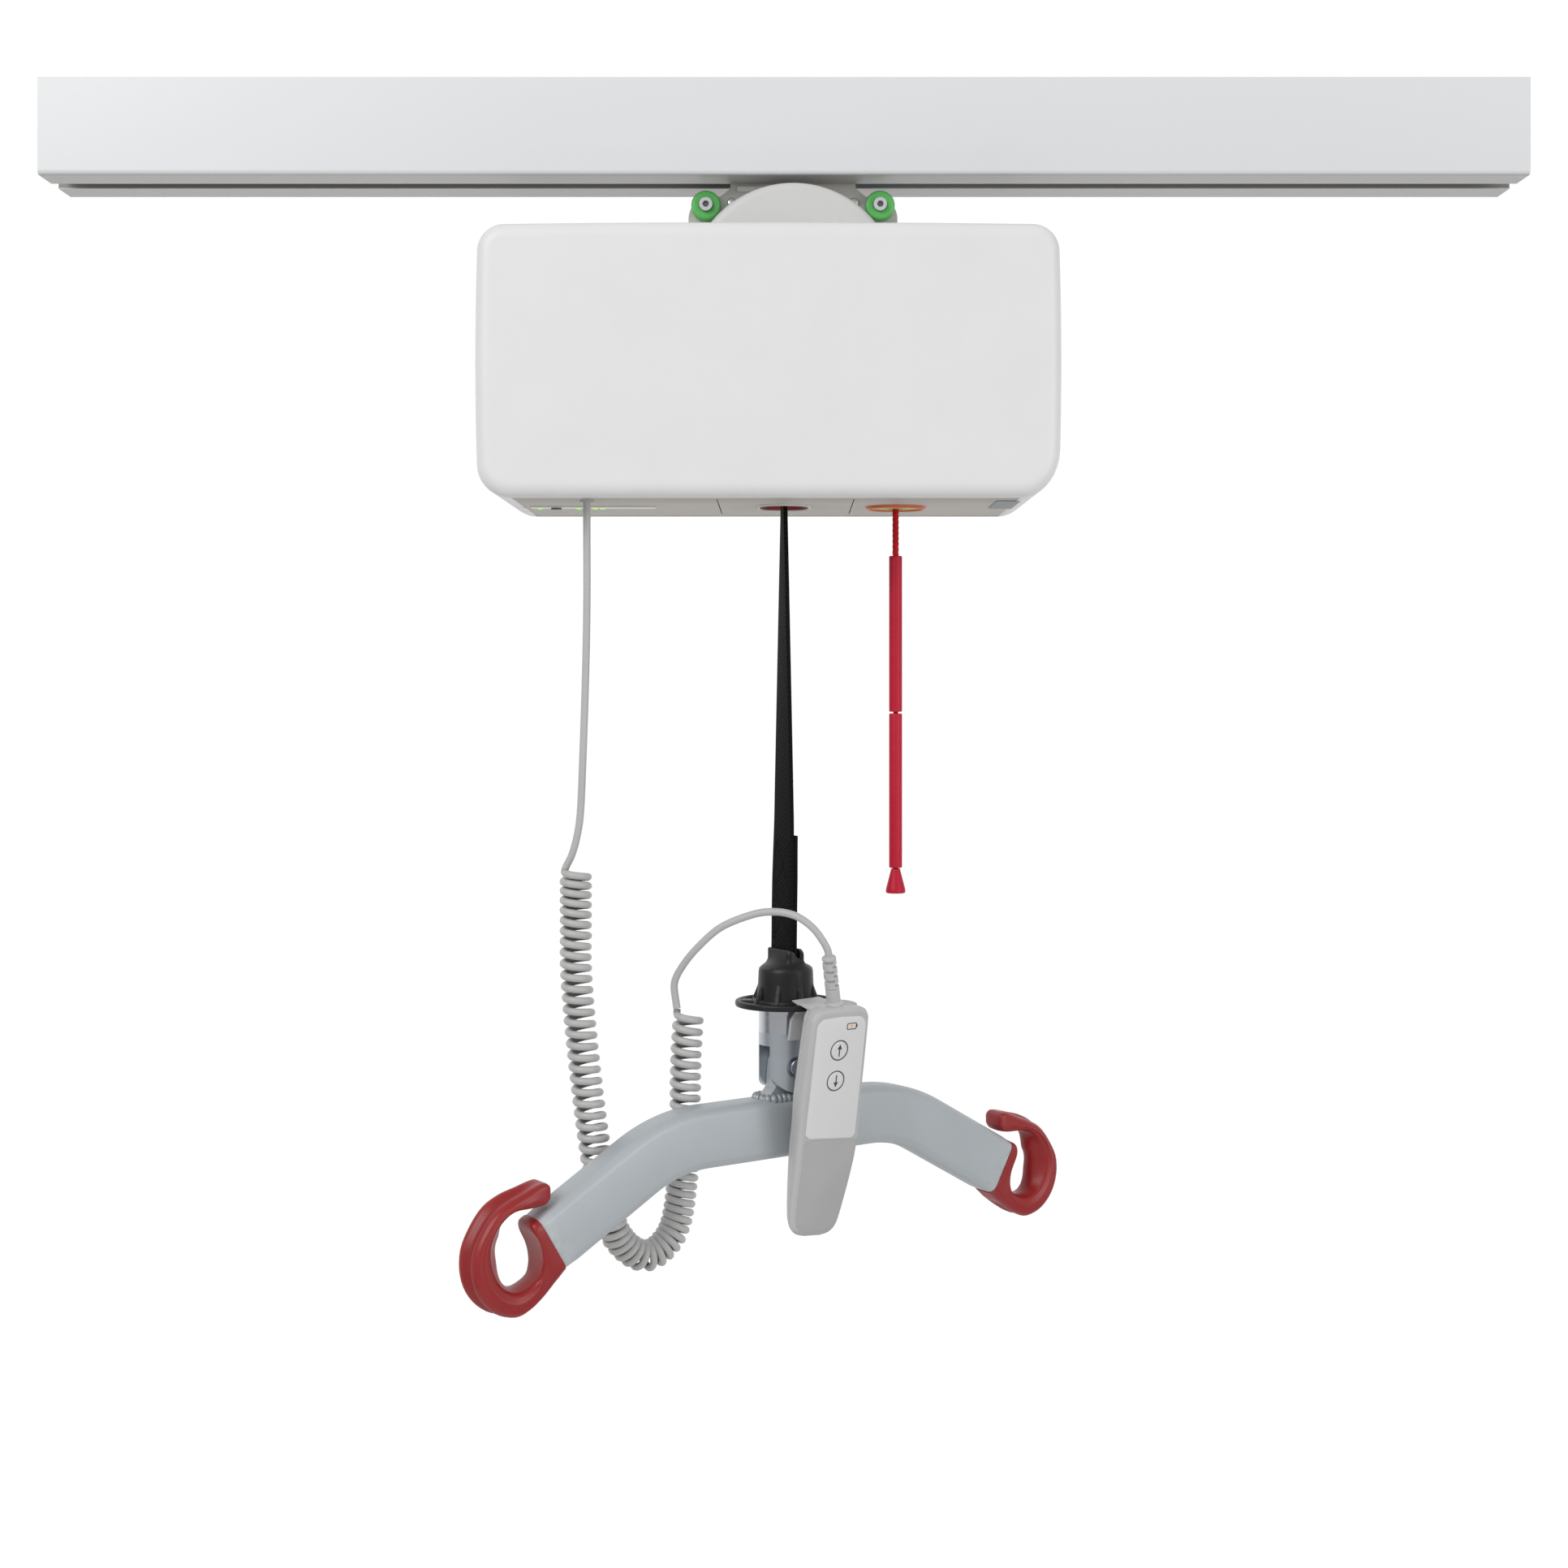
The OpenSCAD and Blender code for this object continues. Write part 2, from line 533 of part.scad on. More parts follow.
rail();
end_stops();
carriage_block();
left_axle();
left_wheels();
right_axle();
right_wheels();
hanger_plate();
suspension_dome();
roller_bolts();
left_roller();
right_roller();
front_cover();
rear_cover();
bottom_panel();
strap_guide();
strap_guide_liner();
chassis_plates();
suspension_pin();
gearbox();
motor();
drum_bearings();
drum_shaft();
strap_drum();
strap_winding();
battery_packs();
control_board();
indicator_strip();
indicator_lenses();
power_button();
charging_window();
cable_gland();
pull_cord_ring();
release_lever();
pull_rope();
pull_tubes();
pull_cone();
strap();
bell();
yoke();
strap_pin();
swivel_collar();
fork();
pivot_bolt();
pivot_nut();
bar_tube();
bar_lug();
weld_beads();
hook_left();
hook_right();
handset_front();
handset_back();
keypad();
up_button();
down_button();
handset_board();
strain_relief();
cord_upper();
cord_coil();
cord_arc();
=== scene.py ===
import math

import bmesh
import bpy
from mathutils import Matrix, Vector, kdtree


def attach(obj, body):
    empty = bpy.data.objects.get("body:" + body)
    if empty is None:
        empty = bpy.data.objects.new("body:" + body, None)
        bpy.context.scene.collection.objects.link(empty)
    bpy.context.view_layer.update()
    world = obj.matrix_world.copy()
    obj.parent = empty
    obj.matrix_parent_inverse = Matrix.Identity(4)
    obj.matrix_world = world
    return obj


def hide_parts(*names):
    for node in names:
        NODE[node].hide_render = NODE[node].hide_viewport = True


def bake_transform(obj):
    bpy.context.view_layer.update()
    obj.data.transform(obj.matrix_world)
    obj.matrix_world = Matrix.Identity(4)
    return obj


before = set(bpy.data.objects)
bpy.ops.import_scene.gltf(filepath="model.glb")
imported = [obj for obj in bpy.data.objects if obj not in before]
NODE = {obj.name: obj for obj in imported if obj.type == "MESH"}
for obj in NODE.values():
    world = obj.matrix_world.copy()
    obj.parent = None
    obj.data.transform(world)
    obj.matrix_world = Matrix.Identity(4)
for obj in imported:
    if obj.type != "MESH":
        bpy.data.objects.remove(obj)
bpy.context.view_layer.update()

scene = bpy.context.scene
PI = math.pi

# Shapes are written in millimetres, as the frame's own drawing is, and made in metres by put().
YAW = math.radians(34.0)
LEAN = math.radians(11.5)
BAR = Matrix.Rotation(YAW, 4, "Z")
TILT = BAR @ Matrix.Translation((0.0, 0.0, -654.0)) @ Matrix.Rotation(math.radians(-0.7), 4, "Y") @ Matrix.Translation((0.0, 0.0, 654.0))
HAND = BAR @ Matrix.Translation((0.0, -32.0, -610.5)) @ Matrix.Rotation(LEAN, 4, "X")
HX = 7.4
RELIEF = HAND @ Matrix.Translation((HX, -15.0, 5.0)) @ Matrix.Rotation(math.radians(-15.0), 4, "Y")


# ---------------------------------------------------------------- shapes
def smooth(p, k):
    """Smooth curve through points, k steps a span."""
    q = [Vector(v) for v in p]
    out = []
    for i in range(len(q) - 1):
        a, b, c, d = q[max(i - 1, 0)], q[i], q[i + 1], q[min(i + 2, len(q) - 1)]
        for j in range(k):
            t = j / k
            out.append(0.5 * (2 * b + (c - a) * t + (2 * a - 5 * b + 4 * c - d) * t * t + (3 * b - a - 3 * c + d) * t ** 3))
    out.append(q[-1])
    return out


def step(t):
    t = min(1.0, max(0.0, t))
    return t * t * (3 - 2 * t)


def resample(path, gap):
    """Points along a path, an equal distance of about gap apart."""
    run = [0.0]
    for a, b in zip(path, path[1:]):
        run.append(run[-1] + (b - a).length)
    n = max(2, round(run[-1] / gap))
    out, i = [], 0
    for k in range(n + 1):
        s = run[-1] * k / n
        while i < len(run) - 2 and run[i + 1] < s:
            i += 1
        t = (s - run[i]) / max(1e-9, run[i + 1] - run[i])
        out.append(path[i].lerp(path[i + 1], min(1.0, t)))
    return out


def length_of(path):
    return sum((b - a).length for a, b in zip(path, path[1:]))


def carried(path):
    """Tangent and two cross directions at each point, carried along without twist."""
    n = len(path)
    tan = [(path[min(i + 1, n - 1)] - path[max(i - 1, 0)]).normalized() for i in range(n)]
    a = Vector((0, 1, 0)) if abs(tan[0].y) < 0.9 else Vector((1, 0, 0))
    out = []
    for t in tan:
        a = (a - t * a.dot(t)).normalized()
        out.append((t, a, t.cross(a)))
    return out


def soft(points, r, k=4, closed=False):
    """Polyline with its corners rounded."""
    pts = [Vector(p) for p in points]
    out, n = [], len(pts)
    for i, p in enumerate(pts):
        ri = r[i] if isinstance(r, (list, tuple)) else r
        if ri <= 0 or (not closed and i in (0, n - 1)):
            out.append(p)
            continue
        da, db = pts[i - 1] - p, pts[(i + 1) % n] - p
        d = min(ri, da.length * 0.49, db.length * 0.49)
        s, e = p + da.normalized() * d, p + db.normalized() * d
        for j in range(k + 1):
            t = j / k
            out.append((1 - t) ** 2 * s + 2 * t * (1 - t) * p + t * t * e)
    return out


def inset(loop, d):
    """Closed outline moved inwards by d; the outline runs anticlockwise."""
    n, out = len(loop), []
    for i in range(n):
        a, p, b = loop[i - 1], loop[i], loop[(i + 1) % n]
        u, w = (p - a), (b - p)
        u = u.normalized() if u.length > 1e-9 else w.normalized()
        w = w.normalized() if w.length > 1e-9 else u
        nu, nw = Vector((-u.y, u.x)), Vector((-w.y, w.x))
        m = nu + nw
        m = m.normalized() if m.length > 1e-6 else nu
        out.append(p + m * (d / max(0.5, m.dot(nu))))
    return out


def box_loop(x0, x1, y0, y1, rl, rh, k=6):
    """Rounded rectangle, anticlockwise from its lower left, with its own radius at the lower and upper corners."""
    out = []
    for cx, cy, r, a in ((x0 + rl, y0 + rl, rl, 180), (x1 - rl, y0 + rl, rl, 270), (x1 - rh, y1 - rh, rh, 0), (x0 + rh, y1 - rh, rh, 90)):
        for j in range(k + 1):
            b = math.radians(a + 90 * j / k)
            out.append(Vector((cx + r * math.cos(b), cy + r * math.sin(b))))
    return out


class Solid:
    def __init__(self):
        self.v, self.f, self.kind = [], [], []

    def faces(self, fs, kind=0):
        for f in fs:
            self.f.append(f)
            self.kind.append(kind)

    def loft(self, rings, closed=True, caps=True, loop=False, kind=0):
        base, n, m = len(self.v), len(rings[0]), len(rings)
        for r in rings:
            self.v.extend(Vector(p) for p in r)
        fs = []
        for i in range(m if loop else m - 1):
            j = (i + 1) % m
            for k in range(n if closed else n - 1):
                l = (k + 1) % n
                fs.append((base + i * n + k, base + i * n + l, base + j * n + l, base + j * n + k))
        if caps and closed and not loop:
            fs.append(tuple(base + k for k in range(n)))
            fs.append(tuple(base + (m - 1) * n + k for k in reversed(range(n))))
        self.faces(fs, kind)
        return self

    def turn(self, profile, n=48, m=Matrix(), loop=False, caps=True, kind=0):
        """Profile of radius and height turned round an axis."""
        return self.loft([[m @ Vector((r * math.cos(2 * PI * k / n), r * math.sin(2 * PI * k / n), h)) for k in range(n)] for r, h in profile],
                         True, caps, loop, kind)

    def tube(self, path, r, n=12, caps=True, kind=0):
        rings = []
        for i, (p, (t, a, b)) in enumerate(zip(path, carried(path))):
            rr = r[i] if isinstance(r, (list, tuple)) else r
            rings.append([p + a * (rr * math.cos(2 * PI * k / n)) + b * (rr * math.sin(2 * PI * k / n)) for k in range(n)])
        return self.loft(rings, True, caps, False, kind)

    def slab(self, loop, levels, place, kind=0):
        """Outline carried through levels of (height, inset), laid out by place(x, y, height)."""
        return self.loft([[place(p.x, p.y, h) for p in (inset(loop, d) if d else loop)] for h, d in levels], True, True, False, kind)


def put(name, solid, mats, body=None, stands_for=(), angle=38.0, m=None):
    """Make the mesh object, in metres."""
    me = bpy.data.meshes.new(name)
    me.from_pydata([tuple((m @ p if m else p) * 0.001) for p in solid.v], [], solid.f)
    for f, k in zip(me.polygons, solid.kind):
        f.material_index = k
    bm = bmesh.new()
    bm.from_mesh(me)
    bmesh.ops.remove_doubles(bm, verts=bm.verts, dist=2e-7)
    bmesh.ops.dissolve_degenerate(bm, edges=bm.edges, dist=1e-7)
    bmesh.ops.recalc_face_normals(bm, faces=bm.faces)
    bm.to_mesh(me)
    bm.free()
    for f in me.polygons:
        f.use_smooth = True
    me.set_sharp_from_angle(angle=math.radians(angle))
    for mat in (mats if isinstance(mats, (list, tuple)) else [mats]):
        me.materials.append(mat)
    ob = bpy.data.objects.new(name, me)
    scene.collection.objects.link(ob)
    if body:
        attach(ob, body)
    if stands_for:
        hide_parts(*stands_for)
    return ob


def levels(h0, h1, r0, r1, k=5):
    """Levels of (height, inset) from h0 to h1 with edges rounded by r0 and r1."""
    up = 1 if h1 > h0 else -1
    out = []
    for j in range(k + 1 if r0 else 1):
        a = PI / 2 * j / k if r0 else 0
        out.append((h0 + up * r0 * (1 - math.cos(a)), r0 * (1 - math.sin(a))))
    for j in range(k + 1 if r1 else 1):
        a = PI / 2 * j / k if r1 else 0
        out.append((h1 - up * r1 * (1 - math.sin(a)), r1 * (1 - math.cos(a))))
    return out


# ---------------------------------------------------------------- materials
def lin(r, g, b):
    return tuple(((c / 255 + 0.055) / 1.055) ** 2.4 if c > 10 else c / 255 / 12.92 for c in (r, g, b)) + (1.0,)


def shader(name, rgb, rough, metal=0.0, vary=0.05, blotch=22.0, grain=900.0, bump=0.15, depth=0.0002, rvary=0.06,
           wear=None, wear_from=0.515, wear_to=0.60, stretch=(1, 1, 1), coat=0.0, spec=0.5, weave=None, glow=0.0):
    m = bpy.data.materials.new(name)
    m.use_nodes = True
    t = m.node_tree
    new, link = t.nodes.new, t.links.new
    b = t.nodes["Principled BSDF"]
    b.inputs["Metallic"].default_value = metal
    b.inputs["Coat Weight"].default_value = coat
    b.inputs["Coat Roughness"].default_value = 0.15
    b.inputs["Specular IOR Level"].default_value = spec
    if glow:
        b.inputs["Emission Color"].default_value = lin(*rgb)
        b.inputs["Emission Strength"].default_value = glow
    tc, mp = new("ShaderNodeTexCoord"), new("ShaderNodeMapping")
    mp.inputs["Scale"].default_value = stretch
    link(tc.outputs["Object"], mp.inputs["Vector"])

    def noise(scale, detail, rough_=0.55):
        n = new("ShaderNodeTexNoise")
        n.inputs["Scale"].default_value = scale
        n.inputs["Detail"].default_value = detail
        n.inputs["Roughness"].default_value = rough_
        link(mp.outputs["Vector"], n.inputs["Vector"])
        return n.outputs["Fac"]

    def spread(src, a0, a1, b0, b1):
        r = new("ShaderNodeMapRange")
        for k, v in zip(("From Min", "From Max", "To Min", "To Max"), (a0, a1, b0, b1)):
            r.inputs[k].default_value = v
        link(src, r.inputs["Value"])
        return r.outputs["Result"]

    def blend(f, a, c):
        x = new("ShaderNodeMix")
        x.data_type = "RGBA"
        link(f, x.inputs[0])
        for s, v in ((x.inputs[6], a), (x.inputs[7], c)):
            if isinstance(v, tuple):
                s.default_value = v
            else:
                link(v, s)
        return x.outputs[2]

    base = lin(*rgb)
    dark = tuple(c * (1 - vary) for c in base[:3]) + (1.0,)
    light = tuple(min(1.0, c * (1 + vary)) for c in base[:3]) + (1.0,)
    big, fine = noise(blotch, 5.0, 0.6), noise(grain, 3.0)
    colour = blend(spread(big, 0.3, 0.7, 0.0, 1.0), dark, light)
    height = fine
    if weave:  # bands over and under, from the piece's own u and v in metres
        uv, sep = new("ShaderNodeUVMap"), new("ShaderNodeSeparateXYZ")
        link(uv.outputs["UV"], sep.inputs["Vector"])

        def wave(src, scale):
            a, c = new("ShaderNodeMath"), new("ShaderNodeMath")
            a.operation, c.operation = "MULTIPLY", "SINE"
            a.inputs[1].default_value = 2 * PI * scale
            link(src, a.inputs[0])
            link(a.outputs[0], c.inputs[0])
            return c.outputs[0]
        x = new("ShaderNodeMath")
        x.operation = "MULTIPLY"
        link(wave(sep.outputs["X"], weave[0]), x.inputs[0])
        link(wave(sep.outputs["Y"], weave[1]), x.inputs[1])
        height = spread(x.outputs[0], -1.0, 1.0, 0.0, 1.0)
        colour = blend(height, tuple(c * 0.55 for c in base[:3]) + (1.0,), colour)
    rough_out = spread(fine, 0.25, 0.75, max(0.02, rough - rvary), min(1.0, rough + rvary))
    if wear:
        g = new("ShaderNodeNewGeometry")
        edge, w = spread(g.outputs["Pointiness"], wear_from, wear_to, 0.0, 1.0), new("ShaderNodeMath")
        w.operation = "MULTIPLY"
        link(edge, w.inputs[0])
        link(spread(noise(blotch * 9, 4.0), 0.35, 0.65, 0.15, 0.9), w.inputs[1])
        colour = blend(w.outputs[0], colour, lin(*wear))
    link(colour, b.inputs["Base Color"])
    link(rough_out, b.inputs["Roughness"])
    bp = new("ShaderNodeBump")
    bp.inputs["Strength"].default_value = bump
    bp.inputs["Distance"].default_value = depth
    link(height, bp.inputs["Height"])
    link(bp.outputs["Normal"], b.inputs["Normal"])
    return m


M = {
    "rail": shader("rail_white", (225, 226, 227), 0.34, grain=1300, bump=0.08, vary=0.012, blotch=5.0, stretch=(0.25, 1, 1)),
    "rubber": shader("stop_rubber", (52, 52, 54), 0.75, grain=1500, bump=0.3, vary=0.15),
    "steel": shader("steel", (178, 180, 184), 0.30, metal=1.0, grain=1800, bump=0.05, stretch=(1, 1, 6)),
    "grey_steel": shader("grey_steel", (140, 142, 146), 0.42, metal=1.0, grain=1200, bump=0.1, stretch=(6, 1, 1)),
    "beige": shader("plate_beige", (206, 204, 199), 0.44, metal=0.1, grain=900, bump=0.10, vary=0.06, stretch=(1, 1, 5)),
    "wheel": shader("wheel_white", (226, 226, 222), 0.45, grain=1000, bump=0.1, vary=0.05),
    "dome": shader("dome_grey", (205, 205, 204), 0.42, grain=1800, bump=0.10, vary=0.02, wear=(226, 226, 224)),
    "bolt": shader("bolt_steel", (222, 223, 226), 0.30, metal=0.6, grain=2000, bump=0.05, vary=0.08),
    "green": shader("roller_green", (96, 192, 98), 0.38, grain=1500, bump=0.08, vary=0.06, wear=(120, 200, 130)),
    "case": shader("casing_white", (229, 229, 229), 0.44, grain=2600, bump=0.12, depth=0.00012, vary=0.012, wear=(240, 240, 240)),
    "greige": shader("panel_greige", (192, 187, 180), 0.55, grain=2200, bump=0.16, vary=0.03),
    "liner": shader("liner_red", (140, 34, 40), 0.5, grain=1500, bump=0.15, vary=0.12, wear=(150, 62, 58)),
    "rim": shader("liner_rim", (204, 200, 192), 0.45, grain=1800, bump=0.12, vary=0.03, wear=(222, 219, 212)),
    "gear": shader("gear_grey", (120, 124, 128), 0.5, metal=0.6, grain=800, bump=0.2, vary=0.1),
    "motor": shader("motor_black", (38, 38, 40), 0.45, metal=0.3, grain=900, bump=0.15, vary=0.15),
    "drum": shader("drum_grey", (96, 98, 100), 0.4, metal=0.7, grain=900, bump=0.12, vary=0.1),
    "battery": shader("battery_black", (44, 46, 48), 0.55, grain=1400, bump=0.15, vary=0.12),
    "board": shader("board_green", (24, 82, 46), 0.42, grain=600, bump=0.2, vary=0.2, blotch=180),
    "strip": shader("strip_grey", (212, 212, 204), 0.35, grain=1500, bump=0.06, vary=0.03),
    "lens": shader("lens_green", (150, 230, 60), 0.18, grain=800, bump=0.03, vary=0.1, blotch=300, coat=0.4, glow=0.7),
    "button": shader("button_dark", (88, 88, 90), 0.5, grain=2000, bump=0.15, vary=0.1),
    "window": shader("window_grey", (158, 160, 162), 0.58, grain=1200, bump=0.06, vary=0.06, spec=0.15),
    "cord": shader("cord_grey", (187, 187, 186), 0.42, grain=1600, bump=0.12, vary=0.03),
    "ring": shader("ring_orange", (214, 104, 58), 0.42, grain=1500, bump=0.1, vary=0.06, wear=(226, 110, 80)),
    "disc": shader("ring_disc", (176, 178, 92), 0.45, grain=1500, bump=0.1, vary=0.06, wear=(176, 186, 104)),
    "lever": shader("lever_orange", (222, 120, 40), 0.45, grain=1300, bump=0.1, vary=0.06),
    "rope": shader("rope_red", (196, 14, 28), 0.75, grain=2600, bump=0.5, depth=0.0004, vary=0.18, blotch=400, spec=0.3),
    "tube": shader("tube_red", (186, 12, 46), 0.46, grain=1500, bump=0.08, vary=0.05, spec=0.3, wear=(206, 52, 80)),
    "bell": shader("bell_black", (22, 22, 23), 0.42, grain=2200, bump=0.18, vary=0.12, spec=0.36, wear=(70, 70, 72)),
    "alu": shader("alu_satin", (184, 191, 197), 0.34, metal=0.8, grain=1500, bump=0.06, vary=0.04, stretch=(1, 1, 8)),
    "polish": shader("steel_polished", (198, 201, 206), 0.16, metal=1.0, grain=900, bump=0.02, vary=0.05, rvary=0.04),
    "bar": shader("bar_silver", (178, 184, 188), 0.46, metal=0.15, grain=1700, bump=0.10, vary=0.03, wear=(200, 205, 209)),
    "lug": shader("lug_silver", (178, 184, 188), 0.42, metal=0.3, grain=1700, bump=0.10, vary=0.04),
    "weld": shader("weld_silver", (164, 169, 173), 0.40, metal=0.4, grain=700, bump=0.3, depth=0.0004, vary=0.12, blotch=120),
    "red": shader("hook_red", (150, 29, 32), 0.38, grain=1900, bump=0.14, vary=0.05, wear=(172, 66, 66)),
    "hand": shader("hand_grey", (187, 187, 187), 0.50, grain=2400, bump=0.16, vary=0.02, wear=(210, 210, 210)),
    # darker copy of the handset grey: painted shade for the lower front of the handset
    "hand_shade": shader("hand_grey_shade", (175, 175, 175), 0.55, grain=2400, bump=0.22, vary=0.03),
    "keypad": shader("keypad_grey", (220, 220, 220), 0.48, grain=2600, bump=0.08, vary=0.015),
    "ink": shader("keypad_ink", (58, 58, 62), 0.55, grain=2000, bump=0.05, vary=0.08),
    "amber": shader("lens_amber", (232, 150, 40), 0.25, grain=800, bump=0.03, vary=0.08, blotch=300, glow=0.3),
    "strap": shader("strap_black", (12, 12, 13), 0.82, grain=3000, bump=0.8, depth=0.0006, vary=0.15, spec=0.2, weave=(230.0, 300.0)),
    "thread": shader("strap_thread", (26, 26, 27), 0.8, grain=3000, bump=0.4, vary=0.15, spec=0.2),
}


def overlay(mat, rgb, mask):
    """Multiply a material's colour by another one where mask(node, link, value range) says so."""
    t = mat.node_tree
    new, link = t.nodes.new, t.links.new

    def ramp(src, a0, a1, b0, b1):
        r = new("ShaderNodeMapRange")
        for k, v in zip(("From Min", "From Max", "To Min", "To Max"), (a0, a1, b0, b1)):
            r.inputs[k].default_value = v
        link(src, r.inputs["Value"])
        return r.outputs["Result"]

    def maths(op, a, b=None):
        n = new("ShaderNodeMath")
        n.operation = op
        for s, v in zip(n.inputs, (a, b)):
            if v is not None:
                link(v, s)
        return n.outputs[0]

    def axes(socket):
        n = new("ShaderNodeSeparateXYZ")
        link(socket, n.inputs["Vector"])
        return n.outputs

    base = t.nodes["Principled BSDF"].inputs["Base Color"]
    src = base.links[0].from_socket
    x = new("ShaderNodeMix")
    x.data_type, x.blend_type = "RGBA", "MULTIPLY"
    place = axes(new("ShaderNodeTexCoord").outputs["Object"])
    facing = axes(new("ShaderNodeNewGeometry").outputs["Normal"])
    link(mask(place, facing, ramp, maths), x.inputs[0])
    link(src, x.inputs[6])
    x.inputs[7].default_value = tuple(c / 255 for c in rgb) + (1.0,)
    link(x.outputs[2], base)


# rail: painted shade on its downward faces, painted shade inside its slot, and painted shade that greys the fascia a
# little towards its lower edge
# painted shade: downward-facing faces darkened to a warm grey
overlay(M["rail"], (160, 152, 146), lambda at, to, ramp, maths: ramp(to["Z"], -0.85, -0.97, 0.0, 1.0))
# painted shade inside the slot, darkened to a dark grey
overlay(M["rail"], (84, 84, 84), lambda at, to, ramp, maths: maths(
    "MULTIPLY", maths("MULTIPLY", ramp(maths("ABSOLUTE", at["Y"]), 0.0322, 0.0328, 1.0, 0.0), ramp(at["Z"], -0.0639, -0.0632, 0.0, 1.0)),
    maths("MULTIPLY", ramp(at["Z"], -0.0036, -0.0030, 1.0, 0.0), ramp(maths("ABSOLUTE", to["X"]), 0.3, 0.7, 1.0, 0.0))))
# painted shade: the rail greys a little towards its lower edge
overlay(M["rail"], (244, 245, 246), lambda at, to, ramp, maths: ramp(at["Z"], -0.002, -0.058, 0.0, 1.0))


# painted shade on the inner side of the coil, from a point attribute set on the coil below
coil_shade_node = M["cord"].node_tree.nodes.new("ShaderNodeAttribute")
coil_shade_node.attribute_name = "coil_painted_shade"
overlay(M["cord"], (112, 112, 112), lambda at, to, ramp, maths: ramp(coil_shade_node.outputs["Fac"], 0.0, 1.0, 0.0, 1.0))


def socket_painted_shade(at, to, ramp, maths):
    x = ramp(maths("ABSOLUTE", ramp(at["X"], -1.0, 1.0, -1.006, 0.994)), 0.0, 1.0, -0.058, 0.942)
    z = ramp(at["Z"], -1.0, 1.0, -0.9205, 1.0795)
    r = maths("SQRT", maths("ADD", maths("MULTIPLY", x, x), maths("MULTIPLY", z, z)))
    return maths("MULTIPLY", ramp(r, 0.00236, 0.0024, 1.0, 0.0), ramp(at["Y"], -0.01798, -0.0178, 0.0, 1.0))


# roller bolts: painted shade in their sockets; bottom panel: painted shade behind the front cover's edge
overlay(M["bolt"], (58, 58, 64), socket_painted_shade)
# painted shade on the panel's downward faces near the front cover's edge
overlay(M["greige"], (200, 199, 198), lambda at, to, ramp, maths: maths(
    "MULTIPLY", ramp(at["Y"], -0.052, -0.022, 1.0, 0.0), ramp(to["Z"], -0.9, -0.97, 0.0, 1.0)))


# ---------------------------------------------------------------- camera, world, light, floor
cam = bpy.data.objects.new("camera", bpy.data.cameras.new("camera"))
scene.collection.objects.link(cam)
cam.location = (0.0, -1.522, -0.4025)
cam.rotation_euler = (PI / 2, 0.0, 0.0)
cam.data.sensor_width = 36.0
cam.data.lens = 2790.0 / 1932.0 * 36.0
cam.data.shift_y = -0.060
cam.data.clip_end = 100.0
cam.data.dof.use_dof = False
scene.camera = cam
scene.view_settings.view_transform = "Standard"

world = bpy.data.worlds.new("studio")
scene.world = world
world.use_nodes = True
wt = world.node_tree
wc, ws, wr = wt.nodes.new("ShaderNodeTexCoord"), wt.nodes.new("ShaderNodeSeparateXYZ"), wt.nodes.new("ShaderNodeMapRange")
wt.links.new(wc.outputs["Generated"], ws.inputs["Vector"])
wt.links.new(ws.outputs["Y"], wr.inputs["Value"])
wr.interpolation_type = "SMOOTHSTEP"
for k, v in zip(("From Min", "From Max", "To Min", "To Max"), (-0.1, 0.85, 0.52, 1.02)):
    wr.inputs[k].default_value = v
# less light from below
wd, wm = wt.nodes.new("ShaderNodeMapRange"), wt.nodes.new("ShaderNodeMath")
wt.links.new(ws.outputs["Z"], wd.inputs["Value"])
for k, v in zip(("From Min", "From Max", "To Min", "To Max"), (-0.72, -0.40, 0.25, 1.0)):
    wd.inputs[k].default_value = v
wm.operation = "MULTIPLY"
wt.links.new(wr.outputs["Result"], wm.inputs[0])
wt.links.new(wd.outputs["Result"], wm.inputs[1])
wt.links.new(wm.outputs[0], wt.nodes["Background"].inputs["Strength"])
wt.nodes["Background"].inputs["Color"].default_value = (1, 1, 1, 1)


def area(name, at, to, size, power):
    d = bpy.data.lights.new(name, "AREA")
    d.shape, d.size, d.size_y, d.energy = "RECTANGLE", size[0], size[1], power
    o = bpy.data.objects.new(name, d)
    scene.collection.objects.link(o)
    o.location = at
    o.rotation_euler = (Vector(to) - Vector(at)).to_track_quat("-Z", "Y").to_euler()
    return o


area("key", (-1.5, -2.0, 1.0), (0, 0, -0.4), (1.5, 1.5), 33.0)
area("fill", (1.9, -1.7, -0.3), (0, 0, -0.5), (1.2, 1.6), 17.0)
area("low", (0.0, -1.7, -2.1), (0, 0, -0.1), (2.8, 0.12), 1.6)

fl = Solid()
fl.turn([(0.0, -2903.0), (2600.0, -2903.0), (2604.0, -2901.5), (2600.0, -2900.0), (0.0, -2900.0)], 96)
floor = put("floor", fl, shader("floor_pale", (236, 236, 234), 0.7, grain=60, bump=0.05, vary=0.02, blotch=3.0))


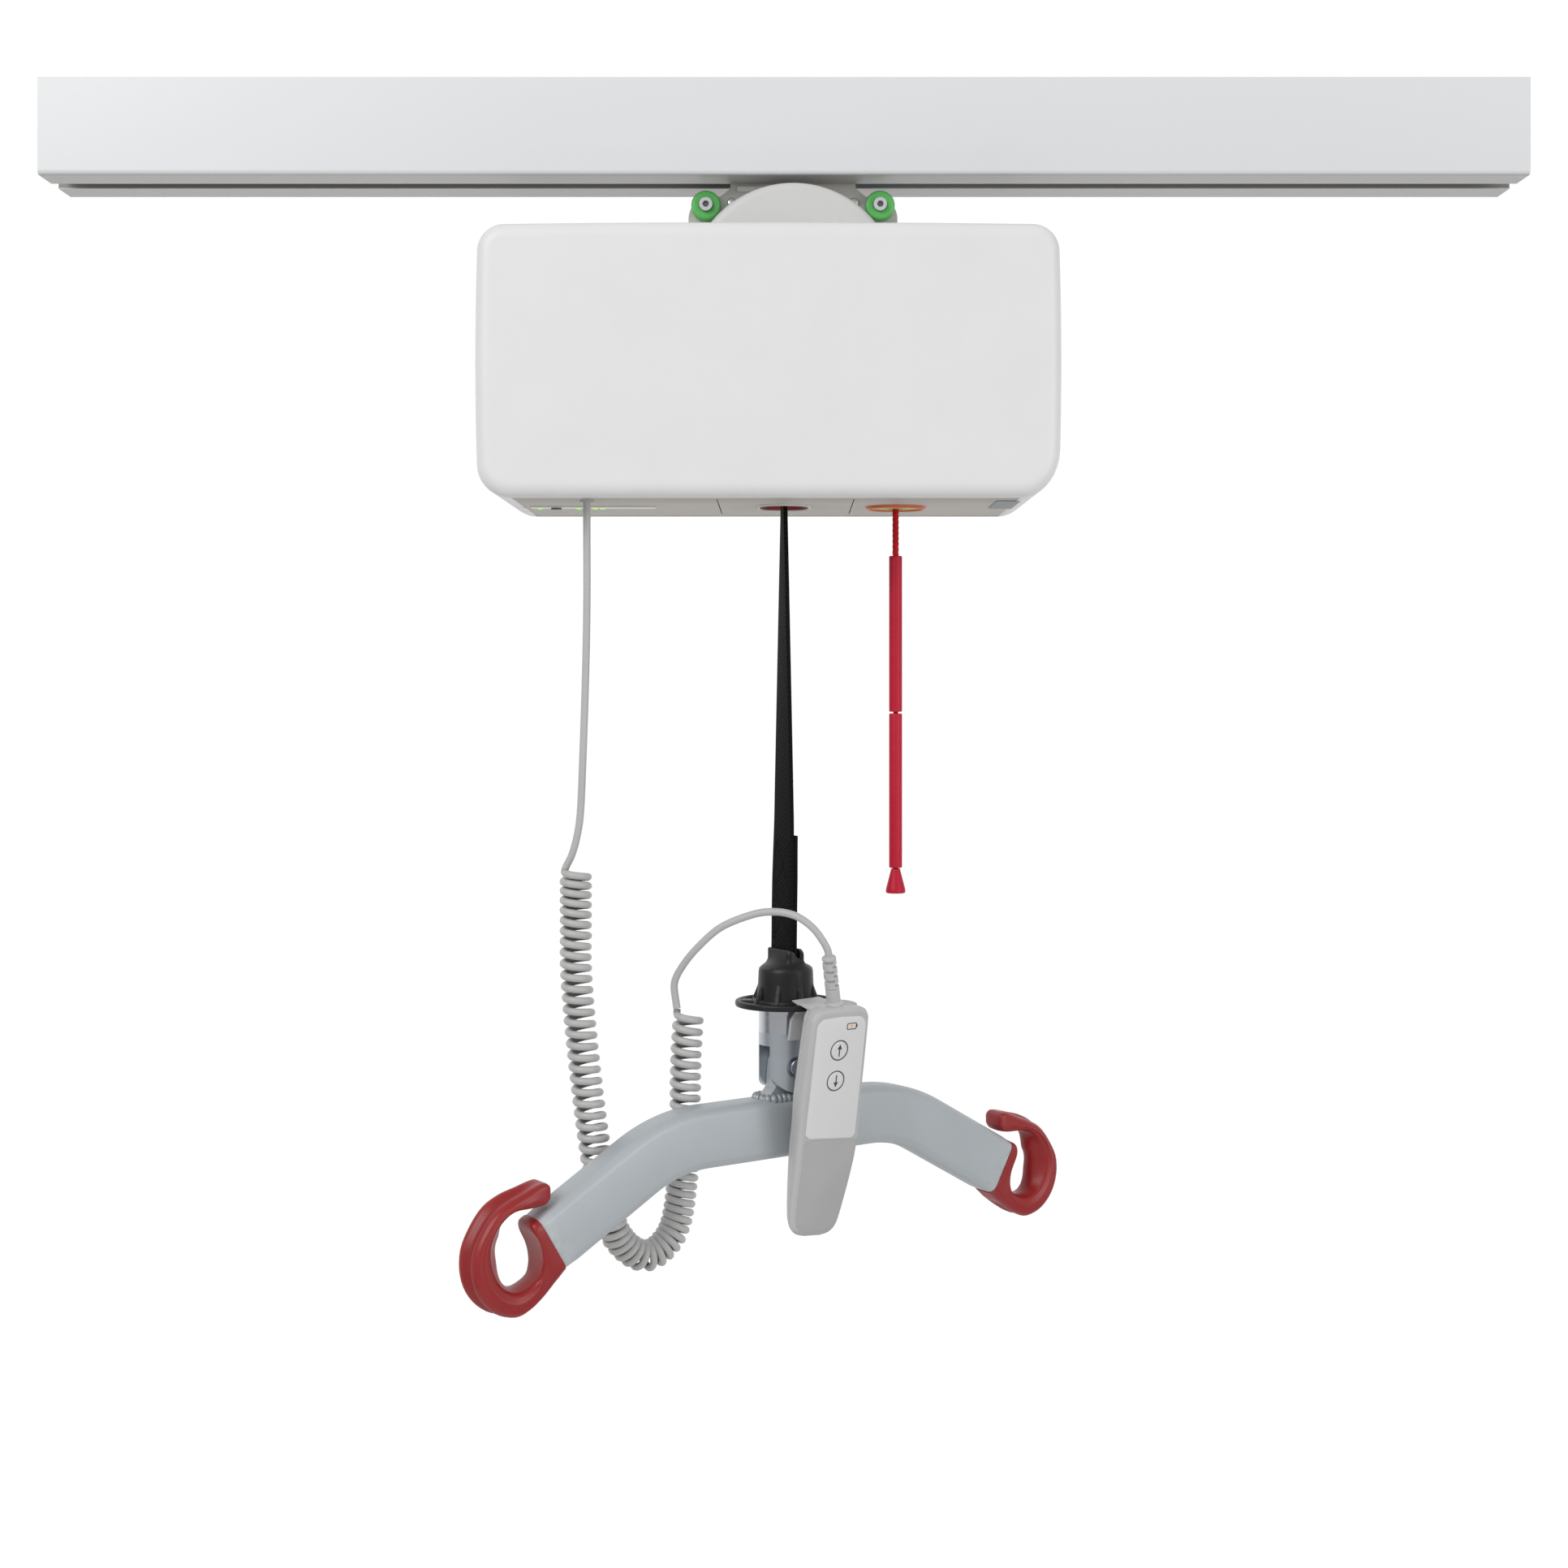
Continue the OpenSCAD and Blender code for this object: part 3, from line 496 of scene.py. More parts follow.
# ---------------------------------------------------------------- cords
UPPER = [(-128, -52, -281), (-128, -52, -300), (-128, -52, -350), (-129, -52, -400), (-130.8, -51, -450), (-132.4, -49, -482),
         (-134.8, -47.5, -498), (-138.2, -46, -509.8), (-141.6, -45, -516.6), (-142.9, -45, -519.6)]
COIL = [(-135.8, -45, -519.8), (-135.8, -45, -528), (-135.8, -45, -560), (-135.4, -45, -590), (-131, -45, -640), (-125, -44, -690),
        (-119, -41, -730), (-109, -35, -762), (-91, -27, -776), (-74, -20, -762), (-67.6, -16, -728), (-66, -15, -690),
        (-65.4, -15, -650), (-64, -15, -625), (-64, -15, -615)]
ARC = [(-71.2, -15, -614.4), (-71.9, -15, -610), (-72.8, -17, -597), (-66.9, -21, -585), (-56.3, -27, -571.8), (-41, -33, -558.3),
       (-19.9, -38, -549.5), (-5.8, -41.5, -547.6), (5.6, -44.5, -549.2), (13.6, -46.8, -553.2), (20.2, -48.3, -558.9), (24.9, -48.6, -565.3),
       (27.3, -47.9, -569.4)] + [tuple(RELIEF @ Vector((0, 0, h))) for h in (38.0, 36.4, 34.4)]


def pitch_at(s, p):
    """Rise of one turn: drawn out down the left leg, close in the bend, drawn out again up the right leg."""
    if p.x > -91.0:
        return 5.15 + 2.35 * step((p.z + 772.0) / 130.0)
    free = 5.4 + 2.2 * (1 - math.exp(-s / 36.0))
    return free + (5.15 - free) * step((-738.0 - p.z) / 26.0)


def curl(route, r):
    """Helix round a route; it starts and ends along the route, on the side that faces -X."""
    gap = 0.35
    mid = resample(smooth(route, 10), gap)
    gap = length_of(mid) / (len(mid) - 1)
    total = gap * (len(mid) - 1)
    turn, ease, out = [0.0], [0.0], []
    for i in range(1, len(mid)):
        s = gap * i
        ease.append(min(step(s / 4.0), step((total - s) / 7.0)))
        turn.append(turn[-1] + gap / pitch_at(s, mid[i]) * ease[-1])
    whole = round(turn[-1])
    for i, (p, (t, a, b)) in enumerate(zip(mid, carried(mid))):
        w = 2 * PI * turn[i] * whole / turn[-1]
        side = Vector((-1, 0, 0))
        e = (side - t * side.dot(t)).normalized()
        f = e.cross(t)
        out.append(p + (7.15 + (r - 7.15) * ease[i]) * (math.cos(w) * e + math.sin(w) * f))
    return out


upper = smooth(UPPER, 6)
helix = curl(COIL, 8.2)
long_path = resample(upper[:-1] + helix, 2.8)
s = Solid().tube(long_path, 2.5, 10)
cord_a = put("handset_cord_coil", s, M["cord"], stands_for=("cord_upper", "cord_coil"))
# painted shade: the inner side of the coil's turns is darkened, after the shade between its turns in the photograph
near = kdtree.KDTree(len(long_path))
for i, p in enumerate(long_path):
    near.insert(p, i)
near.balance()
coil_painted_shade = cord_a.data.attributes.new("coil_painted_shade", "FLOAT", "POINT")
for v in cord_a.data.vertices:
    i = min(max(near.find(Vector(v.co) * 1000.0)[1], 1), len(long_path) - 2)
    bend = long_path[i - 1] + long_path[i + 1] - 2 * long_path[i]
    if bend.length > 0.3 and long_path[i].z < -520.5:
        coil_painted_shade.data[v.index].value = step(((Vector(v.co) * 1000.0 - long_path[i]).dot(bend.normalized()) / 2.5 + 0.25) / 0.9)
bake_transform(cord_a)
length_of(long_path) * 0.001

arc = resample(smooth(ARC, 10), 2.5)
cut = min(range(len(arc)), key=lambda i: (arc[i] - Vector((-5.8, -41.5, -547.6))).length)
arc_1, arc_2 = arc[:cut + 1], arc[cut:]
cord_b = put("handset_cord_rise", Solid().tube(arc_1, 2.5, 12), M["cord"], stands_for=("cord_arc",))
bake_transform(cord_b)
length_of(arc_1) * 0.001
cord_c = put("handset_cord_end", Solid().tube(arc_2, 2.5, 12), M["cord"], stands_for=("cord_arc",))
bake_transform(cord_c)
length_of(arc_2) * 0.001

# rope of the emergency pull: three strands laid together
rings, rope_path = [], []
for i in range(281):
    z = -252.0 - (523.8 - 252.0) * i / 280
    rope_path.append(Vector((75, 0, z)))
    ring = []
    for k in range(24):
        a = 2 * PI * k / 24
        thick = step((z + 314.0) / 3.0)
        r = (1.45 + 0.3 * thick) + (0.3 + 0.14 * thick) * abs(math.cos(1.5 * (a - 2 * PI * z / 11.0)))
        ring.append(Vector((75 + r * math.cos(a), r * math.sin(a), z)))
    rings.append(ring)
rope = put("pull_rope_laid", Solid().loft(rings), M["rope"], "pull_cord", ("pull_rope",), angle=60)

s = Solid()
for z0, z1 in ((-417.2, -312.5), (-522.0, -418.3)):
    prof = soft([(1.9, z0), (4.4, z0), (4.4, z1), (1.9, z1)], [0.4, 0.9, 0.9, 0.4], 4, True)
    s.turn([tuple(p) for p in prof], 32, Matrix.Translation((75, 0, 0)), loop=True)
tubes = put("pull_tube_pair", s, M["tube"], "pull_cord", ("pull_tubes",))
prof = soft([(0.0, -539.0), (6.6, -539.0), (6.6, -536.6), (3.1, -523.2), (2.9, -522.5), (1.95, -522.5), (1.95, -524.0), (0.0, -524.0)],
            [0, 1.2, 1.6, 0.6, 0.3, 0.2, 0.2, 0], 4)
cone = put("pull_cone_turned", Solid().turn([tuple(p) for p in prof], 40, Matrix.Translation((75, 0, 0)), caps=False),
           M["tube"], "pull_cord", ("pull_cone",))
length_of(rope_path) * 0.001


# ---------------------------------------------------------------- strap
def twist(z):
    return YAW * min(1.0, max(0.0, (-236.0 - z) / 294.0))


def strap_loft(path, half_w=11.8, half_t=1.4):
    """Flat webbing along (across, height) points; its width turns with height."""
    sec = box_loop(-half_w, half_w, -half_t, half_t, 0.95, 0.95, 3)
    rings, n = [], len(path)
    for i, (h, z) in enumerate(path):
        a = twist(z)
        w = Vector((math.sin(a), -math.cos(a), 0))
        x = Vector((math.cos(a), math.sin(a), 0))
        d = Vector(path[min(i + 1, n - 1)]) - Vector(path[max(i - 1, 0)])
        t = (x * d.x + Vector((0, 0, 1)) * d.y).normalized()
        nrm = w.cross(t)
        c = x * h + Vector((0, 0, z))
        k = 1 - 0.08 * step((-584.0 - z) / 6.0)
        rings.append([c + w * (p.x * k) + nrm * p.y for p in sec])
    return Solid().loft(rings)


def strap_uv(ob):
    me = ob.data
    uv = me.uv_layers.new(name="run")
    for lp in me.loops:
        p = me.vertices[lp.vertex_index].co
        a = twist(p.z * 1000)
        uv.data[lp.index].uv = (p.x * math.sin(a) - p.y * math.cos(a) + 0.02, p.z + 1.0)


run = [(0.0, -209.0 - (490.0 - 209.0) * i / 94) for i in range(95)]
strap_a = put("strap_run", strap_loft(run), M["strap"], stands_for=("strap",), angle=50)
strap_uv(strap_a)
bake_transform(strap_a)
low = smooth([(0.0, -490.0), (-0.1, -496.0), (-0.35, -508.0), (-0.7, -525.0), (-1.15, -550.0), (-1.5, -580.0), (-2.2, -588.0),
              (-4.9, -594.5), (-5.5, -598.5), (-3.9, -602.3), (0.0, -603.6), (3.9, -602.3), (5.5, -598.5), (4.9, -594.5), (2.2, -588.0),
              (1.5, -580.0), (1.8, -550.0), (2.25, -525.0), (2.6, -508.0), (2.8, -500.0)], 6)
strap_b = put("strap_loop", strap_loft([tuple(p) for p in low]), M["strap"], stands_for=("strap",), angle=50)
strap_uv(strap_b)
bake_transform(strap_b)
# rows of stitches through the doubled end, on both faces
s = Solid()
for face in (-1, 1):
    def at(u, z, out=3.0):
        a = twist(z)
        return Vector((math.sin(a), -math.cos(a), 0)) * u + Vector((math.cos(a), math.sin(a), 0)) * (face * out + 1.3 * max(0.0, (575.0 + z) / 75.0)) + Vector((0, 0, z))
    lines = [[(u, -504.0 - 66.0 * k / 22) for k in range(23)] for u in (-8.6, 8.6)]
    lines += [[(-8.6 + 17.2 * k / 7, z) for k in range(8)] for z in (-504.0, -537.0, -570.0)]
    lines += [[(sx * (-8.6 + 17.2 * k / 12), z0 - 33.0 * k / 12) for k in range(13)] for sx in (-1, 1) for z0 in (-504.0, -537.0)]
    for ln in lines:
        for (u0, z0), (u1, z1) in zip(ln, ln[1:]):
            f = [(0.12, 2.7), (0.3, 3.05), (0.7, 3.05), (0.88, 2.7)]
            s.tube([at(u0 + (u1 - u0) * t, z0 + (z1 - z0) * t, o) for t, o in f], 0.3, 6)
stitch = put("strap_stitches", s, M["thread"])
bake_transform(stitch)

# the strap wound on its drum
spiral = []
for i in range(8 * 48 + 1):
    a = 2 * PI * i / 48
    r = 23.5 + 20.4 * i / (8 * 48)
    spiral.append((a, r))
s = Solid()
s.loft([[Vector((44 + (r + q.y) * math.cos(a), q.x, -190 + (r + q.y) * math.sin(a))) for q in box_loop(-10.9, 10.9, -1.22, 1.22, 0.8, 0.8, 2)] for a, r in spiral])
put("strap_wound", s, M["thread"], "drum", ("strap_winding",), angle=50)


# ---------------------------------------------------------------- casing covers
def cover(name, side, node):
    loop = box_loop(-195, 175, -280, -106, 20.5, 16.5, 9)
    c = 10  # points a corner
    low = c - 1
    loop[c:2 * c] = [Vector((151 + 24 * math.sin(PI / 2 * j / 9), -250 - 30 * math.cos(PI / 2 * j / 9))) for j in range(10)]
    rise = [Vector((0, z)) for z in (-243, -226, -210, -193, -176, -160, -143)]
    over = [Vector((x, -106)) for x in (130, 98, 64, 30, -18, -52, -88, -122, -152)]
    loop = loop[:2 * c] + [Vector((175, p.y)) for p in rise] + loop[2 * c:3 * c] + over + loop[3 * c:] + [Vector((-195, p.y)) for p in reversed(rise)]
    notch = 3 * c + len(rise) + 3

    def swell(p):
        x, z = p.x + 10, p.y + 193
        return Vector((p.x + math.copysign(1.7, x) * (1 - (z / 87) ** 2) * step((abs(x) - 140) / 45), p.y + 1.3 * (1 - (x / 185) ** 2) * step((z - 40) / 45)))
    loop = [swell(p) for p in loop]
    lv = [(-0.15, 0.0), (-7.0, 0.0), (-30.0, 0.0), (-55.0, 0.0), (-78.0, 0.0)]
    lv += [(-79.0 - 9.0 * math.sin(PI / 2 * j / 8), 9.0 * (1 - math.cos(PI / 2 * j / 8))) for j in range(9)]
    lv += [(-88.0, 11.0)]
    rings = [[Vector((p.x, side * y, p.y)) for p in (inset(loop, d) if d else loop)] for y, d in lv]
    sd = Solid()
    n = len(loop)
    for r in rings:
        sd.v.extend(r)
    fs = []
    for i in range(len(rings) - 1):
        for k in range(n):
            if (k == low and i < 4) or (k == notch and i < 1):
                continue
            l = (k + 1) % n
            fs.append((i * n + k, i * n + l, (i + 1) * n + l, (i + 1) * n + k))
    fs.append(tuple((len(rings) - 1) * n + k for k in range(n)))
    sd.faces(fs)
    ob = put(name, sd, M["case"], "hoist", (node,), angle=30)
    # the outside of the front face looks away from the middle
    far = max(ob.data.polygons, key=lambda p: p.area)
    if far.normal.y * side < 0 and far.center.y * side < -0.05:
        pass
    elif far.center.y * side < -0.05 and far.normal.y * side > 0:
        ob.data.flip_normals()
    so = ob.modifiers.new("wall", "SOLIDIFY")
    so.thickness, so.offset = 0.0024, -1.0
    return ob


cover("front_cover_shell", 1, "front_cover")
cover("rear_cover_shell", -1, "rear_cover")


# ---------------------------------------------------------------- underside
def oval(e, z):
    return [Vector((p.x, p.y, z)) for p in box_loop(-18 + e, 18 - e, -24 + e, 24 - e, 16.8 - e, 16.8 - e, 9)]


slot = [Vector((p.x, p.y, -273.2)) for p in box_loop(-5.6, 5.6, -15.4, 15.4, 4.6, 4.6, 9)]
mouth = oval(1.9, -280.0)
s = Solid()
s.loft([oval(0.0, -272.7), oval(0.0, -280.0), oval(0.2, -280.4), oval(0.5, -280.7), oval(1.4, -280.7), oval(1.7, -280.5), mouth], caps=False, kind=0)
s.loft([mouth] + [[a.lerp(b, q) + Vector((0, 0, lift)) for a, b in zip(mouth, slot)] for q, lift in ((0.12, 1.2), (0.3, 1.4), (0.55, 1.2), (0.8, 0.6))]
       + [slot, [p + Vector((0, 0, 0.5)) for p in slot], oval(0.0, -272.7)], caps=False, kind=1)
put("strap_mouth", s, [M["rim"], M["liner"]], "hoist", ("strap_guide_liner",), angle=40)

s = Solid()
at = Matrix.Translation((75, 0, 0))
s.turn([(20.0, -279.5), (20.0, -280.6), (19.6, -281.3), (19.2, -281.5), (18.6, -281.5), (18.2, -281.2), (18.0, -280.5)], 64, at, caps=False, kind=0)
s.turn([(18.0, -280.5), (17.4, -280.3), (12.0, -280.3), (8.0, -280.6), (6.6, -281.2), (5.6, -281.3), (5.1, -281.0), (5.0, -280.4), (5.0, -279.5), (20.0, -279.5)],
       64, at, caps=False, kind=1)
put("pull_cord_eyelet", s, [M["ring"], M["disc"]], "hoist", ("pull_cord_ring",), angle=40)


# ---------------------------------------------------------------- trolley
def dome_ring(y, e):
    r = 69.0 - e
    a0 = math.asin(33.6 / r)
    return [Vector((6 + r * math.cos(a0 + (PI - 2 * a0) * k / 48), y, -139.6 + r * math.sin(a0 + (PI - 2 * a0) * k / 48))) for k in range(49)]


lv = [(-12.0, 1.0), (-12.3, 0.3), (-13.0, 0.0), (-39.5, 0.0)] + [(-39.5 - 5.5 * math.sin(PI / 2 * j / 7), 5.5 * (1 - math.cos(PI / 2 * j / 7))) for j in range(1, 8)] + [(-45.0, 7.0)]
put("dome_moulded", Solid().loft([dome_ring(y, e) for y, e in lv]), M["dome"], "hoist", ("suspension_dome",), angle=30)

# small fittings on the hanger plate that show above the dome
s = Solid()
for side in (-41, 41):
    s.turn([(3.3, 4.9), (3.3, 6.1), (3.05, 6.7), (2.3, 7.1)], 32, Matrix.Translation((6 + side, 0, -76.3)) @ Matrix.Rotation(PI / 2, 4, "X"))
put("hanger_rivets", s, M["bolt"], "hoist", angle=40)
put("hanger_block", Solid().slab(box_loop(-31.4, -14.6, -69.0, -65.5, 0.5, 0.5, 3), levels(-4.9, -6.6, 0.0, 0.4, 3), lambda x, z, h: Vector((x, h, z))),
    M["case"], "hoist", angle=40)

for side, node, body in ((-58, "left_roller", "left_bumper"), (58, "right_roller", "right_bumper")):
    prof = soft([(3.2, 5.6), (6.5, 5.4), (9.9, 5.4), (9.9, 14.6), (5.0, 14.6), (4.7, 14.2), (3.2, 14.2)], [0, 0, 2.6, 2.6, 0.3, 0.2, 0], 6, True)
    m = Matrix.Translation((6 + side, 0, -79.5)) @ Matrix.Rotation(PI / 2, 4, "X")
    put(node + "_tyre", Solid().turn([tuple(p) for p in prof], 48, m, loop=True), M["green"], body, (node,))

# ---------------------------------------------------------------- bell
s = Solid()
s.turn([tuple(p) for p in soft([(30.4, -614.5), (34.0, -614.5), (34.0, -610.5), (30.4, -610.5)], 1.3, 4, True)], 96, loop=True)
s.turn([tuple(p) for p in soft([(18.5, -614.5), (22.6, -614.5), (22.6, -611.0), (21.8, -609.4), (18.5, -609.4)], [0, 0.9, 0.7, 0.6, 0], 3, True)], 72, loop=True)
for k in range(4):
    rs = []
    for j in range(6):
        a = math.radians(45 + 90 * k - 9 + 3.6 * j)
        rs.append([Vector((r * math.cos(a), r * math.sin(a), z)) for r, z in ((21.6, -613.8), (31.4, -613.8), (31.4, -611.2), (21.6, -611.2))])
    s.loft(rs)
for k in range(8):
    a = math.radians(-4.6 + 45 * k)
    e, f = Vector((math.cos(a), math.sin(a), 0)), Vector((-math.sin(a), math.cos(a), 0))
    rs = []
    for z, ro, w in ((-611.8, 24.2, 1.6), (-609.0, 22.8, 1.6), (-606.0, 21.4, 1.6), (-602.5, 20.0, 1.55), (-599.5, 18.9, 1.5), (-597.5, 17.9, 1.4)):
        rs.append([e * r + f * t + Vector((0, 0, z)) for r, t in ((15.0, -w), (ro - 0.5, -w), (ro, -w * 0.5), (ro, w * 0.5), (ro - 0.5, w), (15.0, w))])
    s.loft(rs)


def ring_of(loop, n=120):
    path = loop + [loop[0]]
    return resample(path, length_of(path) / n)[:-1]


outer, inner = ring_of(box_loop(-7, 7, -13.8, 13.8, 3.6, 3.6, 6)), ring_of(box_loop(-4.2, 4.2, -12.3, 12.3, 3, 3, 6))


def saddle(p):
    """Height of the neck's rim; its near end has a notch."""
    return -576.2 - 6.2 * step((-p.y - 8.0) / 5.0) * math.exp(-((p.x - 2.4) / 4.6) ** 2)


def spread_to(r, q, z):
    """Neck's outline drawn towards a circle of radius r."""
    return [Vector((*p.lerp(p.normalized() * r, q), z)) for p in outer]


rs = [[Vector((*(p * 0.96), saddle(p))) for p in outer], [Vector((p.x, p.y, saddle(p) - 0.7)) for p in outer],
      [Vector((p.x, p.y, min(-580.6, saddle(p) - 1.1))) for p in outer], spread_to(14.2, 0.2, -583.6), spread_to(15.8, 0.55, -585.7),
      spread_to(17.1, 0.88, -587.5), spread_to(17.9, 1.0, -589.1), spread_to(18.3, 1.0, -591.2), spread_to(18.6, 1.0, -598.5),
      spread_to(19.0, 1.0, -604.0), spread_to(19.6, 1.0, -610.2), spread_to(20.2, 1.0, -613.0), spread_to(16.4, 1.0, -613.0),
      spread_to(16.4, 1.0, -592.5), [Vector((p.x, p.y, -590.0)) for p in inner], [Vector((p.x, p.y, saddle(p) - 0.7)) for p in inner],
      [Vector((*(p * 1.05), saddle(p))) for p in inner]]
s.loft(rs, loop=True)
put("bell_moulded", s, M["bell"], "suspension", ("bell",), m=Matrix.Translation((1.2, 0, 0)) @ BAR, angle=40)


# ---------------------------------------------------------------- spreader bar
def bar_run():
    def half(arm):
        out = [(65.0 * i / 5, -694.5, 0.0) for i in range(6)]
        for i in range(1, 15):
            a = math.radians(30.0 * i / 14)
            out.append((65 + 100 * math.sin(a), -694.5 - 100 * (1 - math.cos(a)), a))
        a = math.radians(30)
        for i in range(1, 9):
            d = arm * i / 8
            out.append((115 + d * math.cos(a), -694.5 - 100 * (1 - math.cos(a)) - d * math.sin(a), a))
        return out
    return [(-x, z, -a) for x, z, a in reversed(half(77.2)[1:])] + half(75.0)



sec = box_loop(-20, 20, -12.5, 12.5, 6.5, 6.5, 5)
run = bar_run()
rings = []
for i, (x, z, a) in enumerate(run):
    lp = inset(sec, 0.7) if i in (0, len(run) - 1) else sec
    rings.append([Vector((x + p.x * math.sin(a), p.y, z + p.x * math.cos(a))) for p in lp])
put("bar_bent_tube", Solid().loft(rings), M["bar"], "bar", ("bar_tube",), m=TILT, angle=35)

foot = [Vector((p.x, p.y, -674.9)) for p in box_loop(-20.0, 20.0, -8.6, 8.6, 6.5, 6.5, 8)]
path = resample(foot + [foot[0]], 0.35)
s = Solid().tube(path, [2.3 + 1.15 * abs(math.sin(PI * i * 0.35 / 3.8)) for i in range(len(path))], 14)
put("weld_rippled", s, M["weld"], "bar", ("weld_beads",), m=TILT, angle=50)


# ---------------------------------------------------------------- hooks
OUT = [(172.0, -763.9), (174.8, -766.4), (177.4, -768.8), (180.2, -771.4), (184.0, -775.4), (189.0, -780.2), (197.0, -785.8), (207.0, -789.0),
       (221.0, -785.5), (232.5, -775.4), (238.3, -761.5), (238.0, -745.0), (231.0, -730.2), (222.0, -719.4), (211.0, -713.4),
       (199.0, -710.4), (190.0, -708.4), (185.2, -708.0), (182.8, -709.4)]
INN = [(192.0, -729.4), (195.8, -731.8), (196.0, -735.6), (192.8, -741.2), (190.0, -748.0), (188.8, -757.0), (191.6, -766.8), (203.0, -773.5),
       (212.6, -771.2), (219.6, -764.0), (223.0, -754.0), (223.4, -744.0), (220.0, -734.6), (213.6, -727.4), (206.0, -723.4),
       (197.0, -722.8), (189.6, -722.4), (185.0, -721.2), (182.8, -718.9)]
DEEP = [12.4, 12.3, 12.0, 11.5, 10.9, 10.3, 10.0, 10.0, 10.0, 10.0, 10.0, 10.0, 10.0, 10.0, 10.0, 10.0, 10.0, 9.9, 9.3]
ROUND = [6.4, 6.0, 5.4, 4.9, 4.6, 4.5, 4.5, 4.5, 4.5, 4.5, 4.5, 4.5, 4.5, 4.5, 4.5, 4.2, 3.6, 3.2, 2.8]


def hook_section(w, d, r, g, ridge):
    """Loop of (across, depth): grooved outside, rounded edges, a soft ridge on each face near the eye."""
    r = min(r, w * 0.46, d * 0.9)
    half = [(g * math.cos(PI / 2 * (j / 6)) ** 2, (d - r) * j / 6) for j in range(7)]
    half += [(r - r * math.cos(PI / 2 * j / 6), d - r + r * math.sin(PI / 2 * j / 6)) for j in range(1, 7)]
    half += [(r + (w - 2 * r) * j / 5, d + ridge * math.sin(PI * (j / 5) ** 2)) for j in range(1, 5)]
    half += [(w - r + r * math.sin(PI / 2 * j / 6), d - r + r * math.cos(PI / 2 * j / 6)) for j in range(0, 7)]
    half += [(w + 0.5 * (1 - (1 - j / 3) ** 2), (d - r) * (1 - j / 3)) for j in range(1, 4)]
    return half + [(t, -n) for t, n in reversed(half[1:-1])]


def hook(name, node, sgn):
    o, i_, dp, rd = (smooth([Vector((a, b, 0)) if isinstance(a, float) else a for a, b in q], 4) for q in
                     (OUT, INN, [(d, 0.0) for d in DEEP], [(r, 0.0) for r in ROUND]))
    rings = []
    for k in range(len(o)):
        a, b = Vector((o[k].x, o[k].y)), Vector((i_[k].x, i_[k].y))
        w = (b - a).length
        e = (b - a) / w
        u = k / 4.0
        part = step((u - 3.0) / 3.0) * (1 - step((u - 14.0) / 3.0))
        g, ridge, d = 3.2 * part, 0.9 * part, dp[k].x
        slant = 4.6 * step((u - 6.5) / 3.5) * (1 - step((u - 13.5) / 3.0))
        belly = 1.8 * step((u - 4.5) / 2.5) * (1 - step((u - 7.5) / 2.0)) + 8.0 * step((u - 7.5) / 2.2) * (1 - step((u - 11.6) / 2.2))
        ring = []
        for t, n in hook_section(w, d, rd[k].x, g, ridge):
            q = min(1.0, t / w)
            t += slant * (0.5 + 0.5 * n / d) * (1 - q) + belly * step((d - n) / (1.4 * d)) * step((q - 0.5) / 0.5)
            x, z = a.x + e.x * t, a.y + e.y * t
            if sgn > 0:  # on the shorter arm, and a little flatter below
                x, z = x - 1.9, z + 1.1 + 0.07 * (-735.0 - z) * step((u - 2.0) / 4.0) * step((-735.0 - z) / 12.0)
            ring.append(Vector((sgn * x, -n, z)))
        rings.append(ring)
    mid = sum(rings[-1], Vector((0, 0, 0))) / len(rings[-1])
    tip = Vector((-sgn, 0, 0))
    last = rings[-1]
    for q, out in ((0.93, 0.5), (0.8, 0.85), (0.5, 1.05), (0.15, 1.1)):
        rings.append([mid + (p - mid) * q + tip * out for p in last])
    put(name, Solid().loft(rings), M["red"], "bar", (node,), m=TILT, angle=50)


hook("hook_left_moulded", "hook_left", -1)
hook("hook_right_moulded", "hook_right", 1)


# ---------------------------------------------------------------- handset
HC = smooth([(12, 5.2), (18.6, 3.6), (22.0, -0.6), (23, -7), (24, -40), (24.4, -70), (24.25, -85.4), (23.9, -97), (22.2, -120), (20.2, -138),
             (18.0, -146), (13.4, -150.6), (6.5, -152.4)], 4)
hand_loop = [Vector((HX - p.x, p.y)) for p in HC] + [Vector((HX + p.x, p.y)) for p in reversed(HC)]


def lean(x, y, z):
    """Below the buttons the cross edges drop to the right and the tip bears to the left."""
    w = step((-z - 56.0) / 24.0)
    return Vector((x + 1.3 * w - 4.0 * step((-z - 92.0) / 60.0), y, z - 0.08 * (x - HX) * w))


def hand_place(x, z, y):
    return lean(x, y, z)


def hand_ring(y, d, e=0.0):
    """Outline at depth y, drawn in by d at the sides and less at the ends, then inset by e."""
    lp = [Vector((HX + (p.x - HX) * (1 - d / 24.4), -73.7 + (p.y + 73.7) * (1 - 0.4 * d / 78.7))) for p in hand_loop]
    return [lean(p.x, -26.0 + (y + 26.0) * (1 - 0.45 * step((-p.y - 92.0) / 62.0)), p.y) for p in (inset(lp, e) if e else lp)]


def drill(ob, at, m):
    """Cut two round holes for the buttons."""
    cut = []
    for z in at:
        c = put("cutter", Solid().turn([(6.4, 19.0), (6.4, 40.0)], 64, Matrix.Translation((HX, 0, z)) @ Matrix.Rotation(PI / 2, 4, "X")), [], m=m)
        md = ob.modifiers.new("hole", "BOOLEAN")
        md.operation, md.solver, md.object = "DIFFERENCE", "EXACT", c
        cut.append(c)
    bpy.context.view_layer.update()
    me = bpy.data.meshes.new_from_object(ob.evaluated_get(bpy.context.evaluated_depsgraph_get()))
    ob.modifiers.clear()
    old, ob.data = ob.data, me
    bpy.data.meshes.remove(old)
    me.set_sharp_from_angle(angle=math.radians(30))
    for c in cut:
        cm = c.data
        bpy.data.objects.remove(c)
        bpy.data.meshes.remove(cm)


